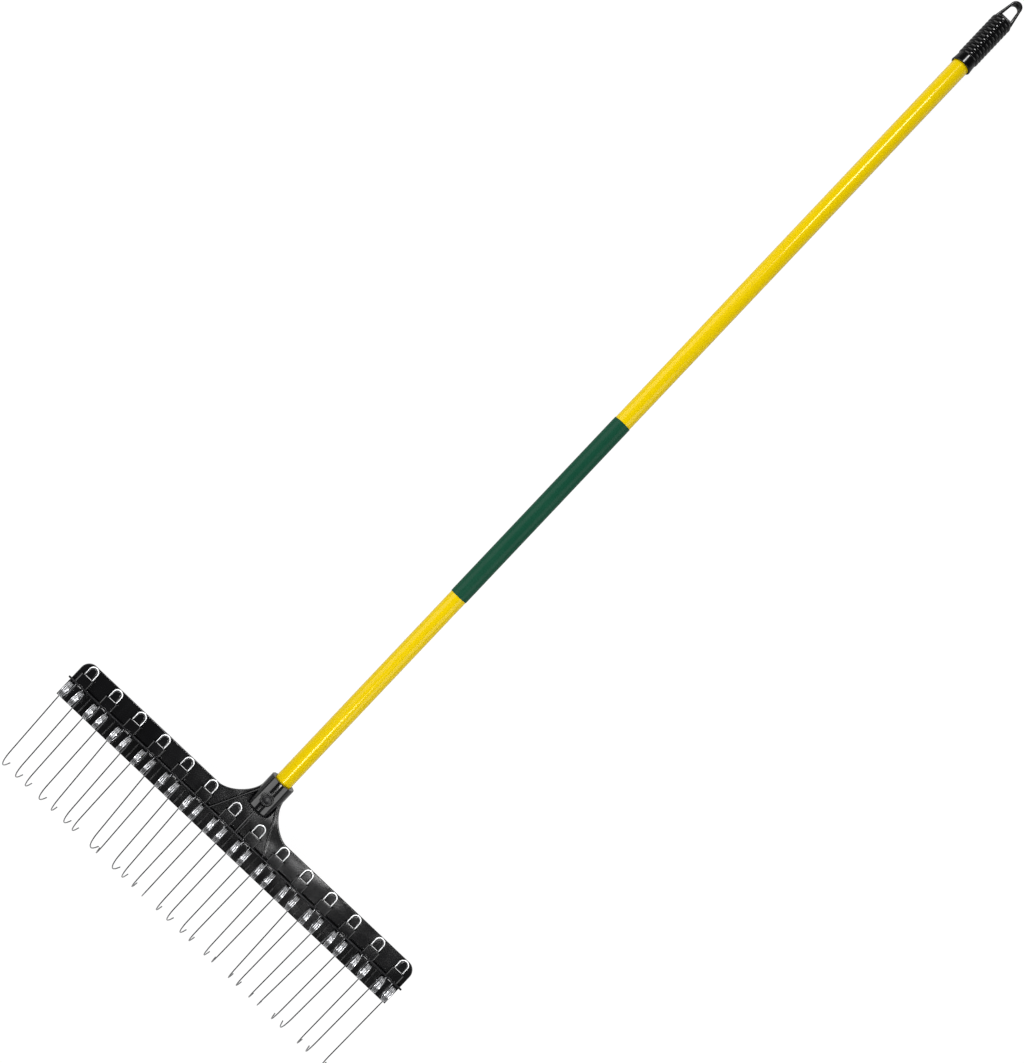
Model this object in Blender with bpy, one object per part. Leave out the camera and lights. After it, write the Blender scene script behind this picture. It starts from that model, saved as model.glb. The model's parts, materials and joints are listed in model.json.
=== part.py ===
"""A thatch rake: a moulded head that carries fourteen double torsion springs of round wire, on a tube handle.

The rake lies on the ground front side up, as it is put down: it rests on the tips of its tines and on its
end grip. X runs along the head, Y along the handle towards the grip, and Z is up. Everything is in metres.

The pieces are modelled in the rake's own plane, where the handle's axis is Y at Z = 0 and the head's lower
edge is at Y = 0. An empty then leans that plane until the tips and the grip both touch the ground.
"""
import math

import bmesh
import bpy
from mathutils import Matrix, Vector

# Gap between pieces that touch
FIT = 0.0003

# Head plate, and its row of springs with a margin from the middle of the last spring to the plate's end
HEAD_WIDTH = 0.525
SPRING_COUNT = 14
END_MARGIN = 0.01485
PLATE_HEIGHT = 0.0545
PLATE_THICK = 0.0032
CORNER_RADIUS = 0.012

# Spring wire: a bail hooked over a post, two legs, two coils
WIRE_D = 0.0015
BAIL_WIDTH = 0.0116
COIL_D = 0.0189
COIL_TURNS = 3
COIL_GAP = 0.00048
COIL_LEG_SPACING = 0.0098
COIL_HEIGHT = 0.0151
LEG_INSET_SHARE = 0.45
TURN_POINTS = 8
BAIL_STEPS = 4

# Tines, each straight to some way below the head's lower edge and then hooked back
TINE_LEAN = math.radians(13)
TINE_STRAIGHT = 0.092
TINE_CLEARANCE = 0.0004
BEND_RADIUS = 0.036
BEND_POINTS = 5
TIP_ANGLE = math.radians(98)
TIP_LENGTH = 0.006

# Bridge blocks over the legs, the posts in the bails and the spacers between the coils. All are cored from
# behind, as moulded walls are, so that a window opens through the plate behind each of them
BLOCK_WIDTH = 0.0179
BLOCK_HEIGHT = 0.0103
BLOCK_RISE = 0.0064
BLOCK_ROUND = 0.0020
BLOCK_ROOF = 0.0022
POST_RISE = 0.0044
POST_GAP = 0.0004
SPACER_WALL = 0.0010
SPACER_ROOF = 0.0024
SPACER_GAP = 0.0006
SPACER_FOOT = 0.0024
CHANNEL_CLEARANCE = 0.0003

# Retaining rod
ROD_D = 0.0024
ROD_HEIGHT = 0.0265
ROD_OVERHANG = 0.0025

# Stiffening ribs on the head's front
FIN_WIDTH = 0.0020
FIN_RISE = 0.0022
FIN_START = 0.0020
STRUT_WIDTH = 0.0024
STRUT_REACH = 0.042
STRUT_TOP = 0.0835
SPINE_WIDTH = 0.0045

# Yoke between the plate and the socket
YOKE_WIDTH = 0.037
YOKE_TOP = 0.089
YOKE_CURVE = 1.57

# Socket
SOCKET_D = 0.0327
SOCKET_LENGTH = 0.045
SOCKET_TOP = 0.1065
SOCKET_FLOOR = 0.003
SOCKET_ROUND = 0.0045

# Handle tube
TUBE_D = 0.0222
TUBE_WALL = 0.0026
TUBE_LENGTH = 1.25

# Screw through the socket and the tube
SCREW_HEIGHT = 0.0818
SCREW_HEAD_D = 0.0105
SCREW_HEAD_RISE = 0.0027
SCREW_RIM = 0.0009
SCREW_SHANK_D = 0.0042
SCREW_LENGTH = 0.0085
COUNTERBORE_D = 0.016
COUNTERBORE_DEPTH = 0.0036
DRIVE_WIDTH = 0.0012
DRIVE_SPAN = 0.0052
DRIVE_DEPTH = 0.0014

# Label wrapped round the tube
LABEL_START = 0.4030
LABEL_LENGTH = 0.277
LABEL_THICK = 0.00025

# End grip
GRIP_D = 0.0266
GRIP_INSERTION = 0.063
GRIP_LENGTH = 0.0705
GRIP_COLLAR = 0.0115
GRIP_RINGS = 11
GRIP_GROOVE = 0.0008
RING_CREST = 0.0026
SHOULDER_LENGTH = 0.002
LOOP_LENGTH = 0.0302
LOOP_BASE_WIDTH = 0.0236
LOOP_TOP_WIDTH = 0.0152
LOOP_THICK = 0.0075
HOLE_START = 0.0065
HOLE_LENGTH = 0.0172
HOLE_BASE_WIDTH = 0.0140
HOLE_TOP_WIDTH = 0.0096

# Facets of round pieces and of rounded corners
SOCKET_SIDES = 32
TUBE_SIDES = 32
GRIP_SIDES = 24
ROD_SIDES = 8
SCREW_SIDES = 20
CORNER_STEPS = 7
YOKE_STEPS = 14
SOCKET_STEPS = 4
BLOCK_STEPS = 2
POST_STEPS = 6
LOOP_STEPS = 8
DOME_STEPS = 3
ROD_END_STEPS = 2

# Sizes and places that follow from the sizes above
SPRING_PITCH = (HEAD_WIDTH - 2 * END_MARGIN) / (SPRING_COUNT - 1)
PLATE_FRONT = PLATE_THICK / 2
BLOCK_FRONT = PLATE_FRONT + BLOCK_RISE
ROD_RADIUS = ROD_D / 2
ROD_Z = BLOCK_FRONT - ROD_RADIUS
GROOVE_LOW = ROD_HEIGHT - ROD_RADIUS - FIT
GROOVE_HIGH = ROD_HEIGHT + ROD_RADIUS + FIT
GROOVE_FLOOR = ROD_Z - ROD_RADIUS - FIT
BLOCK_TOP = GROOVE_HIGH + BLOCK_HEIGHT
POST_BASE = BLOCK_TOP + POST_GAP
SPACER_TOP = ROD_HEIGHT - ROD_RADIUS - SPACER_GAP
WIRE_RADIUS = WIRE_D / 2
WIRE_Z = PLATE_FRONT + FIT + WIRE_RADIUS
COIL_RADIUS = COIL_D / 2
COIL_PITCH = WIRE_D + COIL_GAP
SOCKET_BASE = SOCKET_TOP - SOCKET_LENGTH
SOCKET_RADIUS = SOCKET_D / 2
TUBE_RADIUS = TUBE_D / 2
TUBE_START = SOCKET_BASE + SOCKET_FLOOR + FIT
TUBE_END = TUBE_START + TUBE_LENGTH
GRIP_START = TUBE_END - GRIP_INSERTION
GRIP_RADIUS = GRIP_D / 2
GRIP_END = GRIP_START + GRIP_LENGTH
SUNK = 0.0008

# The tine leaves the back of its coil, leans back and passes just in front of the head's lower edge
TINE_DIRECTION = Vector((0, -math.cos(TINE_LEAN), -math.sin(TINE_LEAN)))
EDGE_Z = PLATE_FRONT + TINE_CLEARANCE + WIRE_RADIUS / math.cos(TINE_LEAN)
COIL_Z = EDGE_Z + COIL_RADIUS / math.cos(TINE_LEAN) + COIL_HEIGHT * math.tan(TINE_LEAN)


def clear_scene():
    """Start from an empty scene."""
    for item in list(bpy.data.objects):
        bpy.data.objects.remove(item, do_unlink=True)


def make_material(name, colour, roughness, metallic=0.0):
    """One finish, as a Principled material."""
    material = bpy.data.materials.new(name)
    material.use_nodes = True
    shader = material.node_tree.nodes["Principled BSDF"]
    shader.inputs["Base Color"].default_value = (*colour, 1.0)
    shader.inputs["Roughness"].default_value = roughness
    shader.inputs["Metallic"].default_value = metallic
    material.diffuse_color = (*colour, 1.0)
    return material


def add_object(name, data, material=None, parent=None, location=(0, 0, 0)):
    """Link a mesh or a curve as an object of the rake."""
    item = bpy.data.objects.new(name, data)
    bpy.context.scene.collection.objects.link(item)
    item.location = location
    item.parent = parent
    if material:
        data.materials.append(material)
    return item


def mesh_from(name, bm):
    """Turn a bmesh into mesh data with its faces pointing out."""
    bmesh.ops.recalc_face_normals(bm, faces=bm.faces)
    mesh = bpy.data.meshes.new(name)
    bm.to_mesh(mesh)
    bm.free()
    return mesh


def prism(bm, outline, offset):
    """Extrude a closed outline of 3-D points by one offset, as a closed body."""
    face = bm.faces.new([bm.verts.new(point) for point in outline])
    extruded = bmesh.ops.extrude_face_region(bm, geom=[face])
    moved = [part for part in extruded["geom"] if isinstance(part, bmesh.types.BMVert)]
    bmesh.ops.translate(bm, verts=moved, vec=offset)


def turned(bm, profile, sides, axis="Y"):
    """Turn a profile of (radius, place along the axis) points, which ends on the axis or closes on itself."""
    verts = [bm.verts.new((radius, along, 0)) for radius, along in profile]
    pairs = list(zip(verts, verts[1:]))
    if profile[0][0] > 0:
        pairs.append((verts[-1], verts[0]))
    edges = [bm.edges.new(pair) for pair in pairs]
    bmesh.ops.spin(bm, geom=verts + edges, cent=(0, 0, 0), axis=(0, 1, 0), angle=math.tau, steps=sides)
    bmesh.ops.remove_doubles(bm, verts=bm.verts, dist=1e-6)
    if axis == "Z":
        bmesh.ops.rotate(bm, verts=bm.verts, matrix=Matrix.Rotation(math.radians(90), 3, "X"))


def combine(target, tool, operation):
    """Join a tool in the same plane to a piece, or cut it out, and remove the tool."""
    tool.parent = target.parent
    modifier = target.modifiers.new(operation.title(), "BOOLEAN")
    modifier.operation = operation
    modifier.solver = "EXACT"
    modifier.object = tool
    with bpy.context.temp_override(object=target, active_object=target):
        bpy.ops.object.modifier_apply(modifier=modifier.name)
    bpy.data.objects.remove(tool, do_unlink=True)


def round_off(item, angle=35):
    """Smooth shading that keeps the piece's real edges sharp."""
    item.data.shade_smooth()
    item.data.set_sharp_from_angle(angle=math.radians(angle))


def arc(centre, radius, start, end, steps):
    """Points of an arc in the XY plane, both ends included."""
    turns = [start + (end - start) * step / steps for step in range(steps + 1)]
    return [(centre[0] + radius * math.cos(turn), centre[1] + radius * math.sin(turn)) for turn in turns]


def spring_centres():
    """Places of the springs along the head."""
    first = -SPRING_PITCH * (SPRING_COUNT - 1) / 2
    return [first + SPRING_PITCH * index for index in range(SPRING_COUNT)]


def leg_entry():
    """Angle past its back at which a leg meets its coil: the leg runs straight from the groove to the coil."""
    rise = GROOVE_LOW - COIL_HEIGHT
    depth = COIL_Z - WIRE_Z
    reach = math.hypot(rise, depth)
    return math.atan2(depth, rise) - math.asin(COIL_RADIUS / reach)


def on_coil(angle):
    """Height and depth of the coil's centre line: 0 is its back, and the angle grows on down, front and up."""
    return COIL_HEIGHT - COIL_RADIUS * math.sin(angle), COIL_Z - COIL_RADIUS * math.cos(angle)


def coil_end_angle():
    """Angle at which the wire leaves its last turn, just before the coil's back."""
    return math.tau * COIL_TURNS - TINE_LEAN


def coil_end_x():
    """Distance of a tine from the middle of its spring."""
    turned_by = coil_end_angle() - leg_entry()
    return COIL_LEG_SPACING / 2 + COIL_PITCH * turned_by / math.tau


def half_spring():
    """Centre line from the top of the bail to the end of one coil, with the bail's middle at X = 0."""
    arch_radius = BAIL_WIDTH / 2
    arch_base = PLATE_HEIGHT - WIRE_RADIUS - arch_radius
    arch = arc((0, arch_base), arch_radius, math.pi / 2, 0, BAIL_STEPS)
    points = [(x, y, WIRE_Z) for x, y in arch]
    points.append((BAIL_WIDTH / 2, GROOVE_LOW, WIRE_Z))
    start = leg_entry()
    steps = round(TURN_POINTS * COIL_TURNS)
    entry_x = COIL_LEG_SPACING / 2
    # The leg is set in to its coil's width before it comes near the turns
    y, z = on_coil(start)
    inset_y = GROOVE_LOW + (y - GROOVE_LOW) * LEG_INSET_SHARE
    inset_z = WIRE_Z + (z - WIRE_Z) * LEG_INSET_SHARE
    points.append((entry_x, inset_y, inset_z))
    for step in range(steps + 1):
        angle = start + (coil_end_angle() - start) * step / steps
        y, z = on_coil(angle)
        points.append((entry_x + COIL_PITCH * (angle - start) / math.tau, y, z))
    return points


def spring_line():
    """Centre line of a whole spring: one coil, its leg, the bail, the other leg and the other coil."""
    right = half_spring()
    left = [(-x, y, z) for x, y, z in right[:0:-1]]
    return left + right


def least_gap(points, wire):
    """Least gap of a wire to itself, measured between points that lie more than half a turn apart along it."""
    places = []
    for start, end in zip(points, points[1:]):
        start, end = Vector(start), Vector(end)
        parts = math.ceil((end - start).length / (wire / 2))
        places += [start.lerp(end, part / parts) for part in range(parts)]
    spread = math.ceil(math.pi * COIL_RADIUS / (wire / 2))
    gaps = [(a - b).length for i, a in enumerate(places) for b in places[i + spread:]]
    return min(gaps) - wire


def tine_line():
    """Centre line of a tine from its coil's end to its tip, measured from the coil's axis."""
    y, z = on_coil(coil_end_angle())
    start = Vector((0, y - COIL_HEIGHT, z - COIL_Z)) + TINE_DIRECTION * FIT
    straight = (COIL_HEIGHT + start.y + TINE_STRAIGHT) / math.cos(TINE_LEAN)
    points = [start, start + TINE_DIRECTION * straight]
    bend = (TIP_ANGLE - TINE_LEAN) / BEND_POINTS
    chord = 2 * BEND_RADIUS * math.sin(bend / 2)
    for step in range(BEND_POINTS):
        heading = TINE_LEAN + bend * (step + 0.5)
        points.append(points[-1] + chord * Vector((0, -math.cos(heading), -math.sin(heading))))
    points.append(points[-1] + TIP_LENGTH * Vector((0, -math.cos(TIP_ANGLE), -math.sin(TIP_ANGLE))))
    return points


def wire(name, points, material, parent, location):
    """Round wire along a centre line, as a curve with filled ends."""
    curve = bpy.data.curves.new(name, "CURVE")
    curve.dimensions = "3D"
    curve.bevel_depth = WIRE_RADIUS
    curve.bevel_resolution = 1
    curve.use_fill_caps = True
    spline = curve.splines.new("POLY")
    spline.points.add(len(points) - 1)
    for point, place in zip(spline.points, points):
        point.co = (*place, 1.0)
    return add_object(name, curve, material, parent, location)


def head_outline():
    """Outline of the plate with the yoke that rises to the socket, anticlockwise."""
    half = HEAD_WIDTH / 2
    socket = SOCKET_RADIUS
    middle = (half - CORNER_RADIUS, PLATE_HEIGHT - CORNER_RADIUS)
    right = [(half, 0)] + arc(middle, CORNER_RADIUS, 0, math.pi / 2, CORNER_STEPS)
    rise = YOKE_TOP - PLATE_HEIGHT
    for step in range(YOKE_STEPS + 1):
        turn = math.pi / 2 * step / YOKE_STEPS
        along = YOKE_WIDTH * math.sin(turn) ** (2 / YOKE_CURVE)
        up = rise * math.cos(turn) ** (2 / YOKE_CURVE)
        right.append((socket + YOKE_WIDTH - along, YOKE_TOP - up))
    left = [(-x, y) for x, y in reversed(right)]
    return right + left


def box(bm, low, high):
    """A closed box between two corners."""
    corners = [(low[0], low[1]), (high[0], low[1]), (high[0], high[1]), (low[0], high[1])]
    prism(bm, [(x, y, low[2]) for x, y in corners], (0, 0, high[2] - low[2]))


def block_section():
    """Section of a bridge block across the legs: a roof over both wires, on two pillars, cored between them."""
    half = BLOCK_WIDTH / 2
    base = PLATE_FRONT - SUNK
    ceiling = BLOCK_FRONT - BLOCK_ROOF
    eaves = WIRE_Z + WIRE_RADIUS + CHANNEL_CLEARANCE
    side = WIRE_RADIUS + CHANNEL_CLEARANCE
    outer = BAIL_WIDTH / 2 + side
    inner = BAIL_WIDTH / 2 - side
    corner = arc((half - BLOCK_ROUND, BLOCK_FRONT - BLOCK_ROUND), BLOCK_ROUND, 0, math.pi / 2, BLOCK_STEPS)
    right = [(inner, ceiling), (inner, eaves), (outer, eaves), (outer, base), (half, base)] + corner
    left = [(-x, z) for x, z in reversed(right)]
    return right + left


def make_blocks(name):
    """The bridge blocks, which hold both legs of each spring against the plate."""
    bm = bmesh.new()
    for centre in spring_centres():
        prism(bm, [(centre + x, GROOVE_HIGH, z) for x, z in block_section()], (0, BLOCK_HEIGHT, 0))
    return add_object(name, mesh_from(name, bm))


def make_posts(name):
    """The round-topped posts that the bails hook over, standing just above their blocks."""
    bm = bmesh.new()
    radius = BAIL_WIDTH / 2 - WIRE_RADIUS - FIT
    arch_base = PLATE_HEIGHT - WIRE_RADIUS - BAIL_WIDTH / 2
    for centre in spring_centres():
        top = arc((centre, arch_base), radius, 0, math.pi, POST_STEPS)
        outline = [(centre - radius, POST_BASE), (centre + radius, POST_BASE)] + top
        prism(bm, [(x, y, PLATE_FRONT - SUNK) for x, y in outline], (0, 0, SUNK + POST_RISE))
    return add_object(name, mesh_from(name, bm))


def spacer_half():
    """Half the width of a spacer, which stands between the two coils of a spring."""
    return COIL_LEG_SPACING / 2 - WIRE_RADIUS - FIT


def make_spacers(name):
    """The spacers between the coils of a spring, each with a seat for the rod behind its top."""
    bm = bmesh.new()
    half = spacer_half()
    base = PLATE_FRONT - SUNK
    side = [(SPACER_FOOT, base), (SPACER_FOOT, BLOCK_FRONT)]
    side += [(SPACER_TOP, BLOCK_FRONT), (SPACER_TOP, GROOVE_FLOOR)]
    side += [(GROOVE_HIGH, GROOVE_FLOOR), (GROOVE_HIGH, base)]
    for centre in spring_centres():
        prism(bm, [(centre - half, y, z) for y, z in side], (2 * half, 0, 0))
    return add_object(name, mesh_from(name, bm))


def make_cores(name):
    """What hollows the spacers from behind, through the plate."""
    bm = bmesh.new()
    half = spacer_half() - SPACER_WALL
    for centre in spring_centres():
        low = (centre - half, SPACER_FOOT + SPACER_WALL, -PLATE_FRONT - SUNK)
        box(bm, low, (centre + half, GROOVE_HIGH + SUNK, BLOCK_FRONT - SPACER_ROOF))
    return add_object(name, mesh_from(name, bm))


def make_windows(name):
    """What opens the plate behind the blocks, between the legs and up to the posts."""
    bm = bmesh.new()
    half = BAIL_WIDTH / 2 - WIRE_RADIUS - CHANNEL_CLEARANCE
    for centre in spring_centres():
        low = (centre - half, GROOVE_HIGH + FIT, -PLATE_FRONT - SUNK)
        box(bm, low, (centre + half, POST_BASE, PLATE_FRONT + SUNK))
    return add_object(name, mesh_from(name, bm))


def make_fins(name):
    """The low ribs that stand between neighbouring springs, under the rod."""
    bm = bmesh.new()
    centres = spring_centres()
    for left, right in zip(centres, centres[1:]):
        middle = (left + right) / 2
        low = (middle - FIN_WIDTH / 2, FIN_START, PLATE_FRONT - SUNK)
        box(bm, low, (middle + FIN_WIDTH / 2, GROOVE_LOW, PLATE_FRONT + FIN_RISE))
    return add_object(name, mesh_from(name, bm))


def make_struts(name):
    """The slanted ribs from the socket's sides down to the rod, and the spine between them."""
    bm = bmesh.new()
    base = PLATE_FRONT - SUNK
    lean_in = SOCKET_RADIUS - STRUT_WIDTH
    for side in (-1, 1):
        foot = side * STRUT_REACH
        head = side * lean_in
        outline = [(foot - STRUT_WIDTH / 2, GROOVE_HIGH), (foot + STRUT_WIDTH / 2, GROOVE_HIGH)]
        outline += [(head + STRUT_WIDTH / 2, STRUT_TOP), (head - STRUT_WIDTH / 2, STRUT_TOP)]
        prism(bm, [(x, y, base) for x, y in outline], (0, 0, BLOCK_FRONT - base))
    box(bm, (-SPINE_WIDTH / 2, GROOVE_HIGH, base), (SPINE_WIDTH / 2, SOCKET_BASE + SOCKET_FLOOR, BLOCK_FRONT))
    return add_object(name, mesh_from(name, bm))


def make_socket(name):
    """The socket's solid outside, with its rounded lower end."""
    bm = bmesh.new()
    middle = (SOCKET_RADIUS - SOCKET_ROUND, SOCKET_BASE + SOCKET_ROUND)
    corner = arc(middle, SOCKET_ROUND, -math.pi / 2, 0, SOCKET_STEPS)
    turned(bm, [(0, SOCKET_BASE)] + corner + [(SOCKET_RADIUS, SOCKET_TOP), (0, SOCKET_TOP)], SOCKET_SIDES)
    return add_object(name, mesh_from(name, bm))


def cylinder(name, radius, low, high, sides, axis="Y", middle=(0, 0, 0)):
    """A round bar along Y or Z, to join or to cut with."""
    bm = bmesh.new()
    turned(bm, [(0, low), (radius, low), (radius, high), (0, high)], sides, axis)
    bmesh.ops.translate(bm, verts=bm.verts, vec=middle)
    return add_object(name, mesh_from(name, bm))


def make_head(material, parent):
    """The moulded head: plate, yoke, blocks, posts, spacers, ribs and socket in one piece."""
    bm = bmesh.new()
    prism(bm, [(x, y, -PLATE_FRONT) for x, y in head_outline()], (0, 0, PLATE_THICK))
    head = add_object("rake_head", mesh_from("rake_head", bm), material, parent)
    for part in (make_socket, make_struts, make_blocks, make_spacers, make_posts, make_fins):
        combine(head, part("head_part"), "UNION")
    for part in (make_cores, make_windows):
        combine(head, part("head_core"), "DIFFERENCE")
    bore = cylinder("bore", TUBE_RADIUS + FIT, SOCKET_BASE + SOCKET_FLOOR, SOCKET_TOP + SUNK, SOCKET_SIDES)
    combine(head, bore, "DIFFERENCE")
    over = (0, SCREW_HEIGHT, 0)
    seat = SOCKET_RADIUS - COUNTERBORE_DEPTH
    sink = cylinder("sink", COUNTERBORE_D / 2, seat, SOCKET_RADIUS + SUNK, SCREW_SIDES, "Z", over)
    combine(head, sink, "DIFFERENCE")
    hole = cylinder("hole", SCREW_SHANK_D / 2 + FIT, TUBE_RADIUS / 2, SOCKET_RADIUS, SCREW_SIDES, "Z", over)
    combine(head, hole, "DIFFERENCE")
    round_off(head)
    return head


def make_tube(material, parent):
    """The handle: a straight tube, open at both ends and drilled for the screw."""
    bm = bmesh.new()
    inner = TUBE_RADIUS - TUBE_WALL
    outline = [(inner, TUBE_START), (TUBE_RADIUS, TUBE_START), (TUBE_RADIUS, TUBE_END), (inner, TUBE_END)]
    turned(bm, outline, TUBE_SIDES)
    tube = add_object("handle_tube", mesh_from("handle_tube", bm), material, parent)
    over = (0, SCREW_HEIGHT, 0)
    hole = cylinder("hole", SCREW_SHANK_D / 2 + FIT, inner / 2, SOCKET_RADIUS, SCREW_SIDES, "Z", over)
    combine(tube, hole, "DIFFERENCE")
    round_off(tube)
    return tube


def make_label(material, parent):
    """The bare film wrapped round the tube."""
    bm = bmesh.new()
    inner = TUBE_RADIUS + FIT
    outer = inner + LABEL_THICK
    end = LABEL_START + LABEL_LENGTH
    turned(bm, [(inner, LABEL_START), (outer, LABEL_START), (outer, end), (inner, end)], TUBE_SIDES)
    label = add_object("label_sleeve", mesh_from("label_sleeve", bm), material, parent)
    round_off(label)
    return label


def make_screw(material, parent):
    """The pan-head screw, with a cross drive, that pins the tube in the socket."""
    bm = bmesh.new()
    seat = SOCKET_RADIUS - COUNTERBORE_DEPTH + FIT
    top = seat + SCREW_HEAD_RISE
    head = SCREW_HEAD_D / 2
    shank = SCREW_SHANK_D / 2
    point = seat - SCREW_LENGTH
    swell = SCREW_HEAD_RISE - SCREW_RIM
    turns = [math.pi / 2 * step / DOME_STEPS for step in range(DOME_STEPS)]
    dome = [(head * math.cos(turn), top - swell + swell * math.sin(turn)) for turn in turns]
    profile = [(0, point), (shank, point + shank), (shank, seat), (head, seat)] + dome + [(0, top)]
    turned(bm, profile, SCREW_SIDES, "Z")
    screw = add_object("socket_screw", mesh_from("socket_screw", bm), material, parent, (0, SCREW_HEIGHT, 0))
    for width, span in ((DRIVE_WIDTH, DRIVE_SPAN), (DRIVE_SPAN, DRIVE_WIDTH)):
        bm = bmesh.new()
        low = (-width / 2, SCREW_HEIGHT - span / 2, top - DRIVE_DEPTH)
        box(bm, low, (width / 2, SCREW_HEIGHT + span / 2, top + DRIVE_DEPTH))
        combine(screw, add_object("drive", mesh_from("drive", bm)), "DIFFERENCE")
    round_off(screw)
    return screw


def make_rod(material, parent):
    """The rod that lies in the spacers' grooves and holds every spring's legs against the plate."""
    bm = bmesh.new()
    half = HEAD_WIDTH / 2 + ROD_OVERHANG
    end = arc((0, half - ROD_RADIUS), ROD_RADIUS, 0, math.pi / 2, ROD_END_STEPS)[:-1] + [(0, half)]
    start = [(radius, -along) for radius, along in reversed(end)]
    turned(bm, start + end, ROD_SIDES)
    bmesh.ops.rotate(bm, verts=bm.verts, matrix=Matrix.Rotation(math.radians(-90), 3, "Z"))
    bmesh.ops.translate(bm, verts=bm.verts, vec=(0, ROD_HEIGHT, ROD_Z))
    rod = add_object("retaining_rod", mesh_from("retaining_rod", bm), material, parent)
    round_off(rod, 50)
    return rod


def grip_profile():
    """Outside of the grip's body: a plain collar, then rings with a groove below each, up to the shoulder."""
    profile = [(0, GRIP_START), (GRIP_RADIUS, GRIP_START), (GRIP_RADIUS, GRIP_START + GRIP_COLLAR)]
    step = (GRIP_LENGTH - GRIP_COLLAR) / GRIP_RINGS
    slope = (step - RING_CREST) / 2
    for ring in range(GRIP_RINGS):
        low = GRIP_START + GRIP_COLLAR + step * ring
        profile.append((GRIP_RADIUS - GRIP_GROOVE, low + slope))
        profile.append((GRIP_RADIUS, low + 2 * slope))
        profile.append((GRIP_RADIUS, low + step))
    shoulder = GRIP_END + SHOULDER_LENGTH
    return profile + [(LOOP_BASE_WIDTH / 2, GRIP_END), (LOOP_THICK / 2, shoulder), (0, shoulder)]


def arch_outline(base, length, base_width, top_width):
    """A tapering arch: straight sides that lean in to a rounded top."""
    radius = top_width / 2
    crown = arc((0, base + length - radius), radius, 0, math.pi, LOOP_STEPS)
    return [(-base_width / 2, base), (base_width / 2, base)] + crown


def make_grip(material, parent):
    """The end grip: a ringed sleeve over the tube's end with a hanging loop."""
    bm = bmesh.new()
    turned(bm, grip_profile(), GRIP_SIDES)
    grip = add_object("end_grip", mesh_from("end_grip", bm), material, parent)
    bm = bmesh.new()
    loop = arch_outline(GRIP_END - SUNK, LOOP_LENGTH + SUNK, LOOP_BASE_WIDTH, LOOP_TOP_WIDTH)
    prism(bm, [(x, y, -LOOP_THICK / 2) for x, y in loop], (0, 0, LOOP_THICK))
    combine(grip, add_object("loop", mesh_from("loop", bm)), "UNION")
    bm = bmesh.new()
    hole = arch_outline(GRIP_END + HOLE_START, HOLE_LENGTH, HOLE_BASE_WIDTH, HOLE_TOP_WIDTH)
    prism(bm, [(x, y, -LOOP_THICK) for x, y in hole], (0, 0, 2 * LOOP_THICK))
    combine(grip, add_object("eye", mesh_from("eye", bm)), "DIFFERENCE")
    bore = cylinder("bore", TUBE_RADIUS + FIT, GRIP_START - SUNK, TUBE_END + FIT, GRIP_SIDES)
    combine(grip, bore, "DIFFERENCE")
    round_off(grip, 40)
    return grip


def make_springs(material, parent):
    """The fourteen springs, each one wire from coil to coil."""
    line = spring_line()
    print(f"least gap of a spring's wire to itself: {least_gap(line, WIRE_D) * 1000:.3f} mm")
    for index, centre in enumerate(spring_centres(), start=1):
        wire(f"spring_{index:02d}", line, material, parent, (centre, 0, 0))


def make_tines(material, parent):
    """Two tines for each spring, each turning about the axis of its coil."""
    line = tine_line()
    count = 0
    for centre in spring_centres():
        for side in (-1, 1):
            count += 1
            axis = (centre + side * coil_end_x(), COIL_HEIGHT, COIL_Z)
            wire(f"tine_{count:02d}", line, material, parent, axis)


def lying_empty():
    """Lean the rake's plane until tips and grip touch the ground, with the middle of its length at Y = 0."""
    tine = [point + Vector((0, COIL_HEIGHT, COIL_Z)) for point in tine_line()]
    across = WIRE_RADIUS * Vector((0, math.sin(TIP_ANGLE), -math.cos(TIP_ANGLE)))
    low = tine[-1] - across if across.z > 0 else tine[-1] + across
    grip = Vector((0, GRIP_END, -GRIP_RADIUS))
    lean = math.atan2(low.z - grip.z, grip.y - low.y)
    turn = Matrix.Rotation(lean, 3, "X")
    far = (turn @ Vector((0, GRIP_END + LOOP_LENGTH, LOOP_THICK / 2))).y
    near = min((turn @ point).y for point in tine) - WIRE_RADIUS
    empty = bpy.data.objects.new("rake", None)
    bpy.context.scene.collection.objects.link(empty)
    empty.rotation_euler = (lean, 0, 0)
    empty.location = (0, -(far + near) / 2, -(turn @ low).z)
    return empty


def build():
    """Model every piece of the rake."""
    clear_scene()
    black = make_material("head_plastic", (0.018, 0.018, 0.02), 0.45)
    yellow = make_material("handle_yellow", (0.86, 0.66, 0.01), 0.3)
    vinyl = make_material("grip_vinyl", (0.012, 0.012, 0.014), 0.5)
    green = make_material("label_green", (0.017, 0.07, 0.04), 0.4)
    steel = make_material("spring_wire", (0.62, 0.64, 0.66), 0.25, 1.0)
    dark = make_material("dark_steel", (0.03, 0.03, 0.033), 0.35, 0.8)
    rake = lying_empty()
    make_head(black, rake)
    make_tube(yellow, rake)
    make_label(green, rake)
    make_screw(dark, rake)
    make_rod(dark, rake)
    make_grip(vinyl, rake)
    make_springs(steel, rake)
    make_tines(steel, rake)
    print(f"pieces: {len(rake.children)}, lean: {math.degrees(rake.rotation_euler.x):.4f} degrees")


build()
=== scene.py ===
# %% [markdown]
# # Dressing a thatch rake
# A thatch rake pulls dead grass out of a lawn. Its head is one black plastic moulding that carries fourteen
# double torsion springs, and each spring ends in two long tines of hard drawn wire. This notebook takes the
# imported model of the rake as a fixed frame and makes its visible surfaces: rounded edges, wire that is wound
# as real wire is, paint, film and soft black plastic. It ends with the rake on a pale floor, seen as in the
# photograph.

# %% Open the frame
import json
import math
import random

import bmesh
import bpy
from mathutils import Matrix, Vector


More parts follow.
